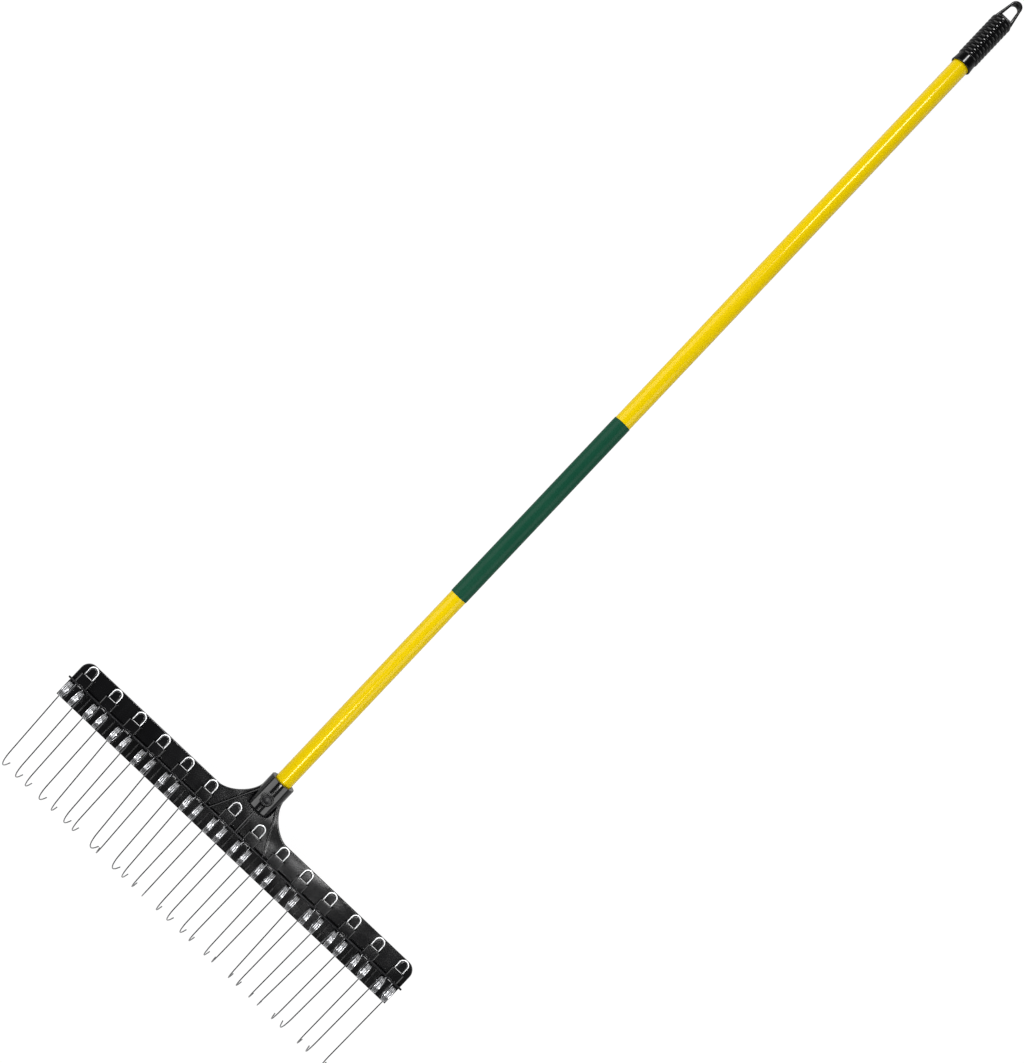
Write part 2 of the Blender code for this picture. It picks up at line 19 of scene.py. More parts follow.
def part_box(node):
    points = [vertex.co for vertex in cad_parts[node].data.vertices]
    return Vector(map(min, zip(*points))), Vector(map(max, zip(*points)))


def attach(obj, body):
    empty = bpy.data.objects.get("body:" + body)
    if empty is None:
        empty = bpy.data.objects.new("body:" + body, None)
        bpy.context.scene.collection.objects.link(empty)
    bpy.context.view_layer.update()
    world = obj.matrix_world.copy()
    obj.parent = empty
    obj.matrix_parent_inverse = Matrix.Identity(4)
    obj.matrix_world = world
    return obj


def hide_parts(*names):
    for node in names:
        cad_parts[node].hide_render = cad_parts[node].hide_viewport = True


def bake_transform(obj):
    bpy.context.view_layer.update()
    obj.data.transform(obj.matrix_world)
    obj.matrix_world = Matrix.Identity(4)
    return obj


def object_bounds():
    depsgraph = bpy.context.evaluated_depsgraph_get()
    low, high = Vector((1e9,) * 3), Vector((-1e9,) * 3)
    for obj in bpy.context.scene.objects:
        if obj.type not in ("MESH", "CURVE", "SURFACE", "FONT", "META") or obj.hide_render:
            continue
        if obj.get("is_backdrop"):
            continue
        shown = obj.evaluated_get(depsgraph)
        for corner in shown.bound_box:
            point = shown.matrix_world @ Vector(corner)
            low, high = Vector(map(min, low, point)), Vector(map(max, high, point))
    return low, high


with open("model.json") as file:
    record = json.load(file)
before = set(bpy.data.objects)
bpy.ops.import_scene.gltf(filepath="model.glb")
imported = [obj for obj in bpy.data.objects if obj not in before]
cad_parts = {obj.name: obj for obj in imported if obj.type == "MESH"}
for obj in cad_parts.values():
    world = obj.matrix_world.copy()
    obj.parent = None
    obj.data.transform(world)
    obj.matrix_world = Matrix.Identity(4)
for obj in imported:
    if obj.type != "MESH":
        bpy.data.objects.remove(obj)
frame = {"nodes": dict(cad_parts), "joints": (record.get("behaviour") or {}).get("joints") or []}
cad_low, cad_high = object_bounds()
print("size in mm:", [round(side * 1000, 1) for side in cad_high - cad_low])

# %% [markdown]
# ## The drawing board
# The rake lies on the tips of its tines and on its grip, so its handle leans by two degrees. It would be
# awkward to model every piece at that lean. Each piece is modelled flat instead, in the rake's own plane,
# where Y runs up the middle of the handle, X along the head and Z towards the viewer, and the head's lower
# edge is at Y = 0. One matrix then lays the finished mesh down. The matrix comes from the frame: the middles
# of the tube's two ends give the handle's line.

# %% Find the rake's plane
TUBE_FOOT = 0.0648
END_SLICE = 0.002


def middle_of(points):
    """Middle of the box round some points."""
    low = Vector([min(point[i] for point in points) for i in range(3)])
    high = Vector([max(point[i] for point in points) for i in range(3)])
    return (low + high) / 2


tube_points = [point.co for point in frame["nodes"]["handle_tube"].data.vertices]
tube_low, tube_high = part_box("handle_tube")
foot = middle_of([point for point in tube_points if point.y < tube_low.y + END_SLICE])
top = middle_of([point for point in tube_points if point.y > tube_high.y - END_SLICE])
tube_length = (top - foot).length
up_handle = (top - foot).normalized()
lean = math.atan2(up_handle.z, up_handle.y)
laying = Matrix.Translation(foot - up_handle * TUBE_FOOT) @ Matrix.Rotation(lean, 4, "X")
print("lean in degrees:", round(math.degrees(lean), 3), "tube length:", round(tube_length, 4))

# %% [markdown]
# ## The camera
# The photograph looks straight at the rake's plane from about 1.7 metres, turned by 43 degrees so that the
# long handle fits the picture from corner to corner. The distance shows in the grip's rim, which is seen a
# little from the side. The lens follows from the picture's scale at that distance.

# %% Set the camera
PICTURE_HEIGHT = 1063
PICTURE_SCALE = 0.001163
CAMERA_DISTANCE = 1.7
CAMERA_X = -0.0070
CAMERA_Y = 0.5006
CAMERA_ROLL = math.radians(43.41)
SENSOR = 36.0

camera = bpy.data.objects.new("camera", bpy.data.cameras.new("camera"))
bpy.context.scene.collection.objects.link(camera)
camera.data.sensor_width = SENSOR
camera.data.lens = SENSOR * CAMERA_DISTANCE / (PICTURE_SCALE * PICTURE_HEIGHT)
camera.data.clip_start = 0.05
camera_place = Matrix.Translation((CAMERA_X, CAMERA_Y, CAMERA_DISTANCE))
camera.matrix_world = laying @ camera_place @ Matrix.Rotation(CAMERA_ROLL, 4, "Z")
bpy.context.scene.camera = camera
bpy.context.scene.view_settings.view_transform = "Standard"
print("lens in mm:", round(camera.data.lens, 2))

# %% [markdown]
# ## Floor, surroundings and light
# The picture's background is plain white. Most of what the camera sees of the floor glows by itself, which
# keeps it even, and the rest is lit by the lamps, which keeps the rake's shadow. Other rays meet a grey
# floor, so the tube's edges stay olive.

# %% Lay the floor
FLOOR_SIZE = 14.0
FLOOR_GREY = (0.5, 0.5, 0.5, 1)
GLOW_STRENGTH = 1.08
GLOW_SHARE = 0.9


def feed(tree, node, inputs):
    """Give a node its inputs: another node's output is linked, and any other value is set."""
    for label, value in inputs.items():
        if isinstance(value, bpy.types.NodeSocket):
            tree.links.new(value, node.inputs[label])
        else:
            node.inputs[label].default_value = value
    return node


def add_node(tree, kind, inputs={}):
    """Add a node with its inputs."""
    return feed(tree, tree.nodes.new(kind), inputs)


def multiply(tree, first, second):
    """The product of two inputs."""
    node = add_node(tree, "ShaderNodeMath", {0: first, 1: second})
    node.operation = "MULTIPLY"
    return node.outputs[0]


def new_material(name):
    """A material with its node tree and its Principled shader."""
    material = bpy.data.materials.new(name)
    material.use_nodes = True
    return material, material.node_tree, material.node_tree.nodes["Principled BSDF"]


bpy.ops.mesh.primitive_plane_add(size=FLOOR_SIZE, location=(0, 0, 0))
floor = bpy.context.object
floor.name = "floor"
floor_paint, tree, shader = new_material("floor_paint")
feed(tree, shader, {"Base Color": FLOOR_GREY, "Roughness": 0.9, "Specular IOR Level": 0.1})
glow = add_node(tree, "ShaderNodeEmission", {"Strength": GLOW_STRENGTH})
path = add_node(tree, "ShaderNodeLightPath")
share = multiply(tree, path.outputs["Is Camera Ray"], GLOW_SHARE)
mix = add_node(tree, "ShaderNodeMixShader", {0: share, 1: shader.outputs[0], 2: glow.outputs[0]})
feed(tree, tree.nodes["Material Output"], {"Surface": mix.outputs[0]})
floor.data.materials.append(floor_paint)
floor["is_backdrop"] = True
print("floor:", FLOOR_SIZE, "m wide")

# %% [markdown]
# The surroundings are a dim room with a pale band at the height of the horizon. Black plastic and yellow
# paint would turn milky if all of the room were white. A gradient over the world's own direction makes the
# band, and rays from the camera see plain white, which stands behind the rake when it is seen from the side.

# %% Paint the surroundings
CEILING = 0.06
BAND = 0.3
BAND_TOP = 0.06
BAND_END = 0.42

world = bpy.data.worlds.new("dim_room")
bpy.context.scene.world = world
world.use_nodes = True
tree = world.node_tree
place = add_node(tree, "ShaderNodeTexCoord")
height = add_node(tree, "ShaderNodeSeparateXYZ", {0: place.outputs["Generated"]})
ramp = add_node(tree, "ShaderNodeValToRGB", {0: height.outputs["Z"]})
ramp.color_ramp.elements[0].position = BAND_TOP
ramp.color_ramp.elements[0].color = (BAND, BAND, BAND, 1)
ramp.color_ramp.elements[1].position = BAND_END
ramp.color_ramp.elements[1].color = (CEILING, CEILING, CEILING, 1)
path = add_node(tree, "ShaderNodeLightPath")
seen = tree.nodes.new("ShaderNodeMix")
seen.data_type = "RGBA"
feed(tree, seen, {"Factor": path.outputs["Is Camera Ray"], "A": ramp.outputs[0], "B": (1, 1, 1, 1)})
feed(tree, tree.nodes["Background"], {"Color": seen.outputs["Result"], "Strength": 1.0})
print("surroundings:", world.name)

# %% [markdown]
# Two long soft boxes stand beside the handle: they draw the long highlights on the socket and the wires,
# while the plate between them faces a dark ceiling. Two short strips draw the tube's bright line near its
# ends. They are area lamps, placed and aimed in the rake's plane. A lamp's energy is worked out from its
# radiance and its area, so that it looks as bright in a reflection when its size changes.

# %% Hang the soft boxes
def soft_box(name, middle, aim, size, radiance):
    """A rectangular lamp over the rake, aimed at a point, with its length along the handle."""
    lamp = bpy.data.lights.new(name, "AREA")
    lamp.shape = "RECTANGLE"
    lamp.size, lamp.size_y = size
    lamp.energy = radiance * math.pi * size[0] * size[1]
    item = bpy.data.objects.new(name, lamp)
    bpy.context.scene.collection.objects.link(item)
    back = (Vector(middle) - Vector(aim)).normalized()
    along = (Vector((0, 1, 0)) - back * back.y).normalized()
    turn = Matrix((along.cross(back), along, back)).transposed().to_4x4()
    item.matrix_world = laying @ Matrix.Translation(middle) @ turn


soft_box("left_box", middle=(-1.44, 0.5, 1.08), aim=(0, 0.5, 0), size=(1.6, 2.3), radiance=3.6)
soft_box("right_box", middle=(1.47, 0.2, 1.03), aim=(0, 0.2, 0), size=(1.3, 1.9), radiance=3.5)
soft_box("low_strip", middle=(0.15, -0.09, 1.5), aim=(0, 0.1, 0), size=(0.28, 0.26), radiance=44.0)
soft_box("high_strip", middle=(-0.33, 2.3, 1.5), aim=(0, 1.1, 0), size=(0.32, 0.56), radiance=46.0)
print("lamps:", len(bpy.data.lights))

# %% [markdown]
# ## Finishes
# Every surface of the rake is slightly uneven, and that is what makes it look real: moulded plastic has a
# fine grain and sinks a little over its ribs, paint has an orange skin, and a tool that is carried about
# gathers dull rubbed patches. Two effects are shared, so each is a node group that gives out only values and
# normals. The first makes grain at two scales.

# %% Group: uneven skin
def new_group(name, inputs, outputs):
    """An empty shader group with named number inputs and outputs."""
    group = bpy.data.node_groups.new(name, "ShaderNodeTree")
    for label, value in inputs:
        socket = group.interface.new_socket(label, in_out="INPUT", socket_type="NodeSocketFloat")
        socket.default_value = value
    for label, kind in outputs:
        group.interface.new_socket(label, in_out="OUTPUT", socket_type=kind)
    return group, group.nodes.new("NodeGroupInput"), group.nodes.new("NodeGroupOutput")


def object_noise(tree, scale, detail, stretch=(1, 1, 1)):
    """Noise on the piece's own coordinates, which can be stretched along an axis."""
    place = add_node(tree, "ShaderNodeTexCoord")
    mapping = add_node(tree, "ShaderNodeMapping", {"Vector": place.outputs["Object"], "Scale": stretch})
    noise = add_node(tree, "ShaderNodeTexNoise", {"Vector": mapping.outputs[0], "Scale": scale})
    return feed(tree, noise, {"Detail": detail}).outputs["Fac"]


skin_inputs = [("Grain Scale", 2500.0), ("Grain Depth", 0.00002)]
skin_inputs += [("Wave Scale", 40.0), ("Wave Depth", 0.0002)]
skin, start, end = new_group("uneven_skin", skin_inputs, [("Normal", "NodeSocketVector")])
height = object_noise(skin, start.outputs["Wave Scale"], 1.0)
wave = add_node(skin, "ShaderNodeBump", {"Height": height, "Distance": start.outputs["Wave Depth"]})
height = object_noise(skin, start.outputs["Grain Scale"], 2.0)
grain = add_node(skin, "ShaderNodeBump", {"Height": height, "Distance": start.outputs["Grain Depth"]})
feed(skin, grain, {"Normal": wave.outputs[0]})
feed(skin, end, {"Normal": grain.outputs[0]})
print("group:", skin.name)

# %% [markdown]
# The second group makes rubbed patches: a soft mask where noise is high, with fine streaks in it. It drives
# roughness, and a little colour, so a highlight breaks up instead of running on like glass.

# %% Group: rubbed patches
PATCH_START = 0.42
PATCH_FULL = 0.72
STREAKS_ALONG_Y = (1.0, 0.12, 1.0)

rub_inputs = [("Patch Scale", 18.0), ("Streak Scale", 300.0), ("Amount", 0.5)]
rubbing, start, end = new_group("rubbed_patches", rub_inputs, [("Mask", "NodeSocketFloat")])
patch = object_noise(rubbing, start.outputs["Patch Scale"], 5.0)
streak = object_noise(rubbing, start.outputs["Streak Scale"], 4.0, STREAKS_ALONG_Y)
spread = {"Value": patch, "From Min": PATCH_START, "From Max": PATCH_FULL}
both = multiply(rubbing, add_node(rubbing, "ShaderNodeMapRange", spread).outputs[0], streak)
feed(rubbing, end, {"Mask": multiply(rubbing, both, start.outputs["Amount"])})
print("group:", rubbing.name)

# %% [markdown]
# All finishes of this rake follow one recipe: two close colours mixed by the rubbed mask, a roughness that
# moves between two values with the same mask, and a normal from the uneven skin. A function holds the recipe,
# and each finish gives its own values.

# %% Recipe for a finish
def add_group(tree, group, values):
    """Place a group in a material, with a value for each of its inputs. Returns its output."""
    node = tree.nodes.new("ShaderNodeGroup")
    node.node_tree = group
    return feed(tree, node, dict(enumerate(values))).outputs[0]


def make_finish(name, colours, roughness, grain, wave, rubs, specular=0.5, tint=(1, 1, 1)):
    """A finish. Grain and wave are (scale, depth), and rubs are (patch scale, streak scale, amount)."""
    material, tree, shader = new_material(name)
    mask = add_group(tree, rubbing, rubs)
    blend = tree.nodes.new("ShaderNodeMix")
    blend.data_type = "RGBA"
    feed(tree, blend, {"Factor": mask, "A": (*colours[0], 1), "B": (*colours[1], 1)})
    span = {"Value": mask, "To Min": roughness[0], "To Max": roughness[1]}
    rough = add_node(tree, "ShaderNodeMapRange", span)
    feed(tree, shader, {"Base Color": blend.outputs["Result"], "Roughness": rough.outputs[0]})
    feed(tree, shader, {"Normal": add_group(tree, skin, (*grain, *wave))})
    feed(tree, shader, {"Specular IOR Level": specular, "Specular Tint": (*tint, 1)})
    material.diffuse_color = (*colours[0], 1)
    return material


# %% [markdown]
# ### The rake's finishes
# The head is black nylon with a satin mould texture. Its broad walls sink a little where ribs join them,
# which bends reflections in soft patches, so its wave is deep and slow. The handle's yellow gel coat is
# glossy with a faint orange skin. The label is a thin printed film, and here it is bare. The grip is soft
# black vinyl.

# %% Mix the finishes of head and handle
moulded_nylon = make_finish(
    "moulded_nylon",
    colours=[(0.002, 0.002, 0.0024), (0.007, 0.007, 0.0076)],
    roughness=(0.13, 0.21),
    grain=(1100.0, 0.000005),
    wave=(26.0, 0.0012),
    rubs=(14.0, 200.0, 0.8),
    specular=0.46,
)
yellow_coat = make_finish(
    "yellow_coat",
    colours=[(0.55, 0.395, 0.0003), (0.527, 0.371, 0.0006)],
    roughness=(0.17, 0.21),
    grain=(700.0, 0.000001),
    wave=(90.0, 0.000012),
    rubs=(9.0, 120.0, 0.5),
    specular=0.25,
    tint=(1.0, 0.93, 0.55),
)
label_film = make_finish(
    "label_film",
    colours=[(0.005, 0.044, 0.024), (0.009, 0.054, 0.030)],
    roughness=(0.28, 0.38),
    grain=(700.0, 0.000002),
    wave=(70.0, 0.00003),
    rubs=(16.0, 200.0, 0.8),
    specular=0.06,
)
soft_vinyl = make_finish(
    "soft_vinyl",
    colours=[(0.0015, 0.0015, 0.0017), (0.005, 0.005, 0.0055)],
    roughness=(0.16, 0.26),
    grain=(900.0, 0.000002),
    wave=(90.0, 0.00004),
    rubs=(40.0, 300.0, 0.7),
    specular=0.24,
)
print("finishes:", [finish.name for finish in (moulded_nylon, yellow_coat, label_film, soft_vinyl)])

# %% [markdown]
# The springs are bright drawn wire, and the rod and the screw are blackened steel.

# %% Mix the finishes of the steel
bright_wire = make_finish(
    "bright_wire",
    colours=[(0.94, 0.95, 0.96), (0.78, 0.78, 0.79)],
    roughness=(0.16, 0.30),
    grain=(3500.0, 0.000003),
    wave=(400.0, 0.00001),
    rubs=(60.0, 900.0, 1.0),
)
black_steel = make_finish(
    "black_steel",
    colours=[(0.008, 0.008, 0.009), (0.03, 0.03, 0.032)],
    roughness=(0.26, 0.42),
    grain=(1500.0, 0.00003),
    wave=(200.0, 0.00006),
    rubs=(50.0, 500.0, 1.0),
    specular=0.2,
)
print("finishes:", [finish.name for finish in (bright_wire, black_steel)])

# %% [markdown]
# The wire's colour changes from end to end, and this is painted light. Its bails are left brightest, as a
# painted highlight, and its coils are greyer and its tines dark, as painted shade. A ramp along the rake
# multiplies the wire's colour. Towards the bails the wire also turns from metal to a pale surface that is
# hardly metal, so the
# bails look bright from all sides: that is a painted highlight too.

# %% Paint light and shade on the wire along the rake
TINES_END = -0.010
BAILS_START = 0.037
TINE_SHADE_GREY = (0.16, 0.16, 0.165, 1)
COIL_SHADE_GREY = (0.55, 0.55, 0.56, 1)
COIL_SHARES = (0.3, 0.85)
PAINTED_HIGHLIGHT_START = 0.6
TINE_METAL = 0.9
BAIL_METAL = 0.1

tree = bright_wire.node_tree
shader = tree.nodes["Principled BSDF"]
place = add_node(tree, "ShaderNodeTexCoord")
height = add_node(tree, "ShaderNodeSeparateXYZ", {0: place.outputs["Object"]})
low, high = [(laying @ Vector((0, y, 0))).y for y in (TINES_END, BAILS_START)]
span = {"Value": height.outputs["Y"], "From Min": low, "From Max": high}
share = add_node(tree, "ShaderNodeMapRange", span).outputs[0]
# Painted shade: the ramp darkens the coils to mid grey and the tines to dark grey, and leaves the bails at the
# wire's own colour.
shade_ramp = add_node(tree, "ShaderNodeValToRGB", {0: share})
shade_ramp.color_ramp.elements[0].color = TINE_SHADE_GREY
for position in COIL_SHARES:
    shade_ramp.color_ramp.elements.new(position).color = COIL_SHADE_GREY
painted_shade = tree.nodes.new("ShaderNodeMix")
painted_shade.data_type = "RGBA"
painted_shade.blend_type = "MULTIPLY"
colour = shader.inputs["Base Color"].links[0].from_socket
feed(tree, painted_shade, {"Factor": 1.0, "A": colour, "B": shade_ramp.outputs["Color"]})
# Painted highlight: towards the bails the wire turns from metal to a pale, nearly non-metal surface, so the
# bails look bright from all sides.
span = {"Value": share, "From Min": PAINTED_HIGHLIGHT_START, "To Min": TINE_METAL, "To Max": BAIL_METAL}
metal = add_node(tree, "ShaderNodeMapRange", span).outputs[0]
feed(tree, shader, {"Base Color": painted_shade.outputs["Result"], "Metallic": metal})
print("worn finish:", bright_wire.name)

# %% [markdown]
# ## Working as by hand
# The pieces below are modelled with the operators that the mouse and the keys call. An operator acts on all
# that is selected, so everything is deselected before a new piece starts, and its faces and edges are then
# picked in code, by their place or their direction. An edge runs along an axis where most of its direction is
# on it, and across the axis where next to nothing is.

# %% Helpers to pick edges and faces
ALONG = 0.9
ACROSS = 0.1


def fresh_start():
    """Leave edit mode and deselect everything."""
    if bpy.context.object and bpy.context.object.mode == "EDIT":
        bpy.ops.object.mode_set(mode="OBJECT")
    bpy.ops.object.select_all(action="DESELECT")


def pick_up(piece):
    """Make a piece the one that is selected and active."""
    fresh_start()
    bpy.context.view_layer.objects.active = piece
    piece.select_set(True)


def pick(kind, test):
    """Select the edges or the faces that pass a test. Returns how many."""
    bpy.ops.mesh.select_mode(type=kind)
    bpy.ops.mesh.select_all(action="DESELECT")
    mesh = bpy.context.edit_object.data
    bm = bmesh.from_edit_mesh(mesh)
    picked = [part for part in (bm.edges if kind == "EDGE" else bm.faces) if test(part)]
    for part in picked:
        part.select_set(True)
    bmesh.update_edit_mesh(mesh)
    return len(picked)


def pick_edges(test):
    """Select the edges whose middle and direction pass a test. Returns how many."""
    def passes(edge):
        low, high = edge.verts[0].co, edge.verts[1].co
        return test((low + high) / 2, (high - low).normalized())
    return pick("EDGE", passes)


def pick_faces(test):
    """Select the faces whose middle and normal pass a test. Returns how many."""
    return pick("FACE", lambda face: test(face.calc_center_median(), face.normal))


def face_outwards():
    """Select all and turn every normal outwards."""
    bpy.ops.mesh.select_all(action="SELECT")
    bpy.ops.mesh.normals_make_consistent(inside=False)


def near(value, goal, within=0.00005):
    """Whether two lengths are all but equal."""
    return abs(value - goal) < within


# %% [markdown]
# Most of the moulding is made of bars with rounded edges. A Boolean welds a piece to another or cuts it out.

# %% Helpers for bars and Booleans
def add_bar(name, low, high):
    """A cube stretched between two corners, with its size applied, left in edit mode."""
    fresh_start()
    low, high = Vector(low), Vector(high)
    bpy.ops.mesh.primitive_cube_add(size=1, location=(low + high) / 2, scale=high - low)
    bar = bpy.context.object
    bar.name = name
    bpy.ops.object.transform_apply(location=True, rotation=True, scale=True)
    bpy.ops.object.mode_set(mode="EDIT")
    return bar


def round_edges(radius, steps=3):
    """Bevel the picked edges."""
    bpy.ops.mesh.bevel(offset=radius, segments=steps, affect="EDGES", clamp_overlap=False)


def apply_all(piece):
    """Apply every modifier of a piece."""
    pick_up(piece)
    for modifier in list(piece.modifiers):
        bpy.ops.object.modifier_apply(modifier=modifier.name)


def combine(piece, tool, operation):
    """Join a tool to a piece, or cut it out, and remove the tool."""
    fresh_start()
    modifier = piece.modifiers.new("combine", "BOOLEAN")
    modifier.operation = operation
    modifier.solver = "EXACT"
    modifier.object = tool
    apply_all(piece)
    bpy.data.objects.remove(tool, do_unlink=True)


def count_faces(piece):
    """Print how many faces a piece has."""
    print(piece.name, "has", len(piece.data.polygons), "faces")


def join(pieces, name):
    """Join several objects into one."""
    fresh_start()
    for piece in pieces:
        piece.select_set(True)
    bpy.context.view_layer.objects.active = pieces[0]
    bpy.ops.object.join()
    pieces[0].name = name
    return pieces[0]


# %% [markdown]
# Some outlines have no primitive close to them. Those are drawn point by point, as with E in edit mode: a
# plane is merged to one point, the point is extruded along the outline, and F fills it. The filled face is
# then extruded to its thickness.

# %% Helpers for drawn outlines
def draw_path(name, start, moves):
    """Merge a small plane to a point and extrude it move by move. Leaves edit mode on, all selected."""
    fresh_start()
    bpy.ops.mesh.primitive_plane_add(size=0.001, location=start)
    item = bpy.context.object
    item.name = name
    bpy.ops.object.transform_apply(location=True)
    bpy.ops.object.mode_set(mode="EDIT")
    bpy.ops.mesh.select_mode(type="VERT")
    bpy.ops.mesh.select_all(action="SELECT")
    bpy.ops.mesh.merge(type="CENTER")
    for move in moves:
        bpy.ops.mesh.extrude_region_move(TRANSFORM_OT_translate={"value": move})
    bpy.ops.mesh.select_all(action="SELECT")
    return item


def draw_outline(name, points, thickness):
    """Draw a closed outline of (x, y, z) points, fill it and extrude it along Z. Leaves edit mode on."""
    moves = [Vector(there) - Vector(here) for here, there in zip(points, points[1:])]
    item = draw_path(name, points[0], moves)
    bpy.ops.mesh.edge_face_add()
    bpy.ops.mesh.extrude_region_move(TRANSFORM_OT_translate={"value": (0, 0, thickness)})
    face_outwards()
    return item


def arc(middle, radius, start, end, steps, z=0.0):
    """Points of an arc in the rake's plane, both ends included."""
    turns = [start + (end - start) * step / steps for step in range(steps + 1)]
    return [(middle[0] + radius * math.cos(t), middle[1] + radius * math.sin(t), z) for t in turns]


# %% [markdown]
# A finished piece gets its normals, its finish and its place in one go. Shading is smooth up to an angle, and
# weighted normals keep the broad flats flat beside their rounded edges. The mesh is moved by the laying
# matrix, and the object itself stays at the origin, so that it rides where the frame says.

# %% Helper to finish a piece
made = []


def finish_piece(piece, name, finish, smooth_angle=35, weighted=True):
    """Shade a piece, give it its finish and lay it down with the rake."""
    pick_up(piece)
    piece.name = name
    piece.data.name = name
    bpy.ops.object.shade_smooth_by_angle(angle=math.radians(smooth_angle))
    if weighted:
        modifier = piece.modifiers.new("weights", "WEIGHTED_NORMAL")
        modifier.keep_sharp = True
        bpy.ops.object.modifier_apply(modifier=modifier.name)
    piece.data.materials.clear()
    piece.data.materials.append(finish)
    piece.data.transform(laying)
    made.append(piece)
    return piece


# %% [markdown]
# ## The head
# ### Plate and yoke
# The plate is the wall that all else stands on. Its two upper corners are round, and in the middle it sweeps
# up to the socket in two hollow curves. A superellipse gives their shape: it is fuller than a quarter circle,
# as the moulded one is. The outline is drawn point by point, extruded, and its front and back rims are
# rounded.

# %% Draw the plate
PLATE_THICK = 0.0032
PLATE_FRONT = PLATE_THICK / 2
QUARTER = math.pi / 2
PLATE_HEIGHT = 0.0545
HEAD_HALF = 0.2625
CORNER_RADIUS = 0.012
SOCKET_RADIUS = 0.01635
YOKE_WIDTH = 0.037
YOKE_TOP = 0.089
YOKE_CURVE = 1.57
YOKE_STEPS = 28
RIM_ROUND = 0.0009


def plate_outline():
    """Outline of plate and yoke at the plate's back, anticlockwise from the lower right corner."""
    corner_middle = (HEAD_HALF - CORNER_RADIUS, PLATE_HEIGHT - CORNER_RADIUS)
    right = [(HEAD_HALF, 0, 0)] + arc(corner_middle, CORNER_RADIUS, 0, QUARTER, steps=12)
    rise = YOKE_TOP - PLATE_HEIGHT
    for step in range(YOKE_STEPS + 1):
        turn = QUARTER * step / YOKE_STEPS
        along = YOKE_WIDTH * math.sin(turn) ** (2 / YOKE_CURVE)
        up = rise * math.cos(turn) ** (2 / YOKE_CURVE)
        right.append((SOCKET_RADIUS + YOKE_WIDTH - along, YOKE_TOP - up, 0))
    left = [(-x, y, z) for x, y, z in reversed(right)]
    return [Vector((x, y, -PLATE_FRONT)) for x, y, z in right + left]


head = draw_outline("head", plate_outline(), PLATE_THICK)
picked = pick_edges(lambda middle, way: abs(way.z) < ACROSS and near(abs(middle.z), PLATE_FRONT))
round_edges(RIM_ROUND)
fresh_start()
print("plate edges rounded:", picked)

# %% [markdown]
# ### Springs' places
# Everything on the head repeats along it with the springs. Their places are read from the frame: each tine
# turns about the axis of its own coil, and two neighbouring tines have their spring's middle between them.

# %% Read the springs' places
def on_board(point):
    """A point of the frame on the drawing board."""
    return laying.inverted() @ Vector(point)


tine_axes = [on_board(joint["pos_m"]) for joint in frame["joints"]]
centres = [(left.x + right.x) / 2 for left, right in zip(tine_axes[::2], tine_axes[1::2])]
COIL_Y = tine_axes[0].y
COIL_Z = tine_axes[0].z
TINE_X = tine_axes[1].x - centres[0]
print("springs:", len(centres), "tine at", round(TINE_X, 4))
print("coil axis at", round(COIL_Y, 4), round(COIL_Z, 4))

# %% [markdown]
# What repeats is modelled once, in the middle of the head, and copied along it. The copies are joined, so
# that one Boolean welds them all to the plate.

# %% Helper for repeats
def copy_along(piece, places):
    """Copy a piece along X to each place, and join the copies. The first one is moved."""
    copies = []
    for place in places:
        pick_up(piece)
        bpy.ops.object.duplicate(linked=False)
        copy = bpy.context.object
        copy.data.transform(Matrix.Translation((place, 0, 0)))
        copies.append(copy)
    bpy.data.objects.remove(piece, do_unlink=True)
    return join(copies, copies[0].name)


# %% [markdown]
# ### Bridge blocks
# Each spring is held by a bridge: a block over its two legs, open from behind so that the moulding's walls
# are of one thickness. Its sides are rounded by two millimetres, and catch the light as pale bars in the
# photograph. The block starts as a cube, its long front edges are bevelled, and two bars hollow it. All that
# stands on the plate starts a little under its front, so that it welds, and pieces that touch keep a small
# gap.

# %% Model the bridge blocks
FIT = 0.0003
SUNK = 0.0008
WELD_Z = PLATE_FRONT - SUNK
ROD_RADIUS = 0.0012
ROD_Y = 0.0265
GROOVE_HIGH = ROD_Y + ROD_RADIUS + FIT
BLOCK_HALF = 0.00895
BLOCK_HEIGHT = 0.0119
BLOCK_TOP = GROOVE_HIGH + BLOCK_HEIGHT
BLOCK_RISE = 0.0064
BLOCK_FRONT = PLATE_FRONT + BLOCK_RISE
BLOCK_WALL = 0.0022
BLOCK_ROUND = 0.002
BLOCK_RIM = 0.0004
WIRE_RADIUS = 0.00075
WIRE_Z = PLATE_FRONT + FIT + WIRE_RADIUS
LEG_X = 0.0058
CHANNEL = WIRE_RADIUS + FIT
CUT_LOW = 0.02
CUT_HIGH = 0.05

block = add_bar("block", (-BLOCK_HALF, GROOVE_HIGH, WELD_Z), (BLOCK_HALF, BLOCK_TOP, BLOCK_FRONT))
pick_edges(lambda middle, way: abs(way.y) > ALONG and near(middle.z, BLOCK_FRONT))
round_edges(BLOCK_ROUND, 5)
pick_edges(lambda middle, way: abs(way.y) < ACROSS and middle.z > PLATE_FRONT)
round_edges(BLOCK_RIM, 2)
channel = add_bar("channel", (-LEG_X - CHANNEL, CUT_LOW, 0), (LEG_X + CHANNEL, CUT_HIGH, WIRE_Z + CHANNEL))
combine(block, channel, "DIFFERENCE")
core = add_bar("core", (CHANNEL - LEG_X, CUT_LOW, 0), (LEG_X - CHANNEL, CUT_HIGH, BLOCK_FRONT - BLOCK_WALL))
combine(block, core, "DIFFERENCE")
blocks = copy_along(block, centres)
count_faces(blocks)

# %% [markdown]
# ### Posts
# The bail of each spring hooks over a post with a round top, which holds it when the tines are pulled. The
# post's outline is a short wall with half a circle on it. Its front rim is rounded, and shows as a pale
# crescent.

# %% Model the posts
POST_RADIUS = LEG_X - CHANNEL
POST_BASE = BLOCK_TOP + FIT
ARCH_Y = PLATE_HEIGHT - WIRE_RADIUS - LEG_X
POST_RISE = 0.0044
POST_FRONT = PLATE_FRONT + POST_RISE
POST_ROUND = 0.0009

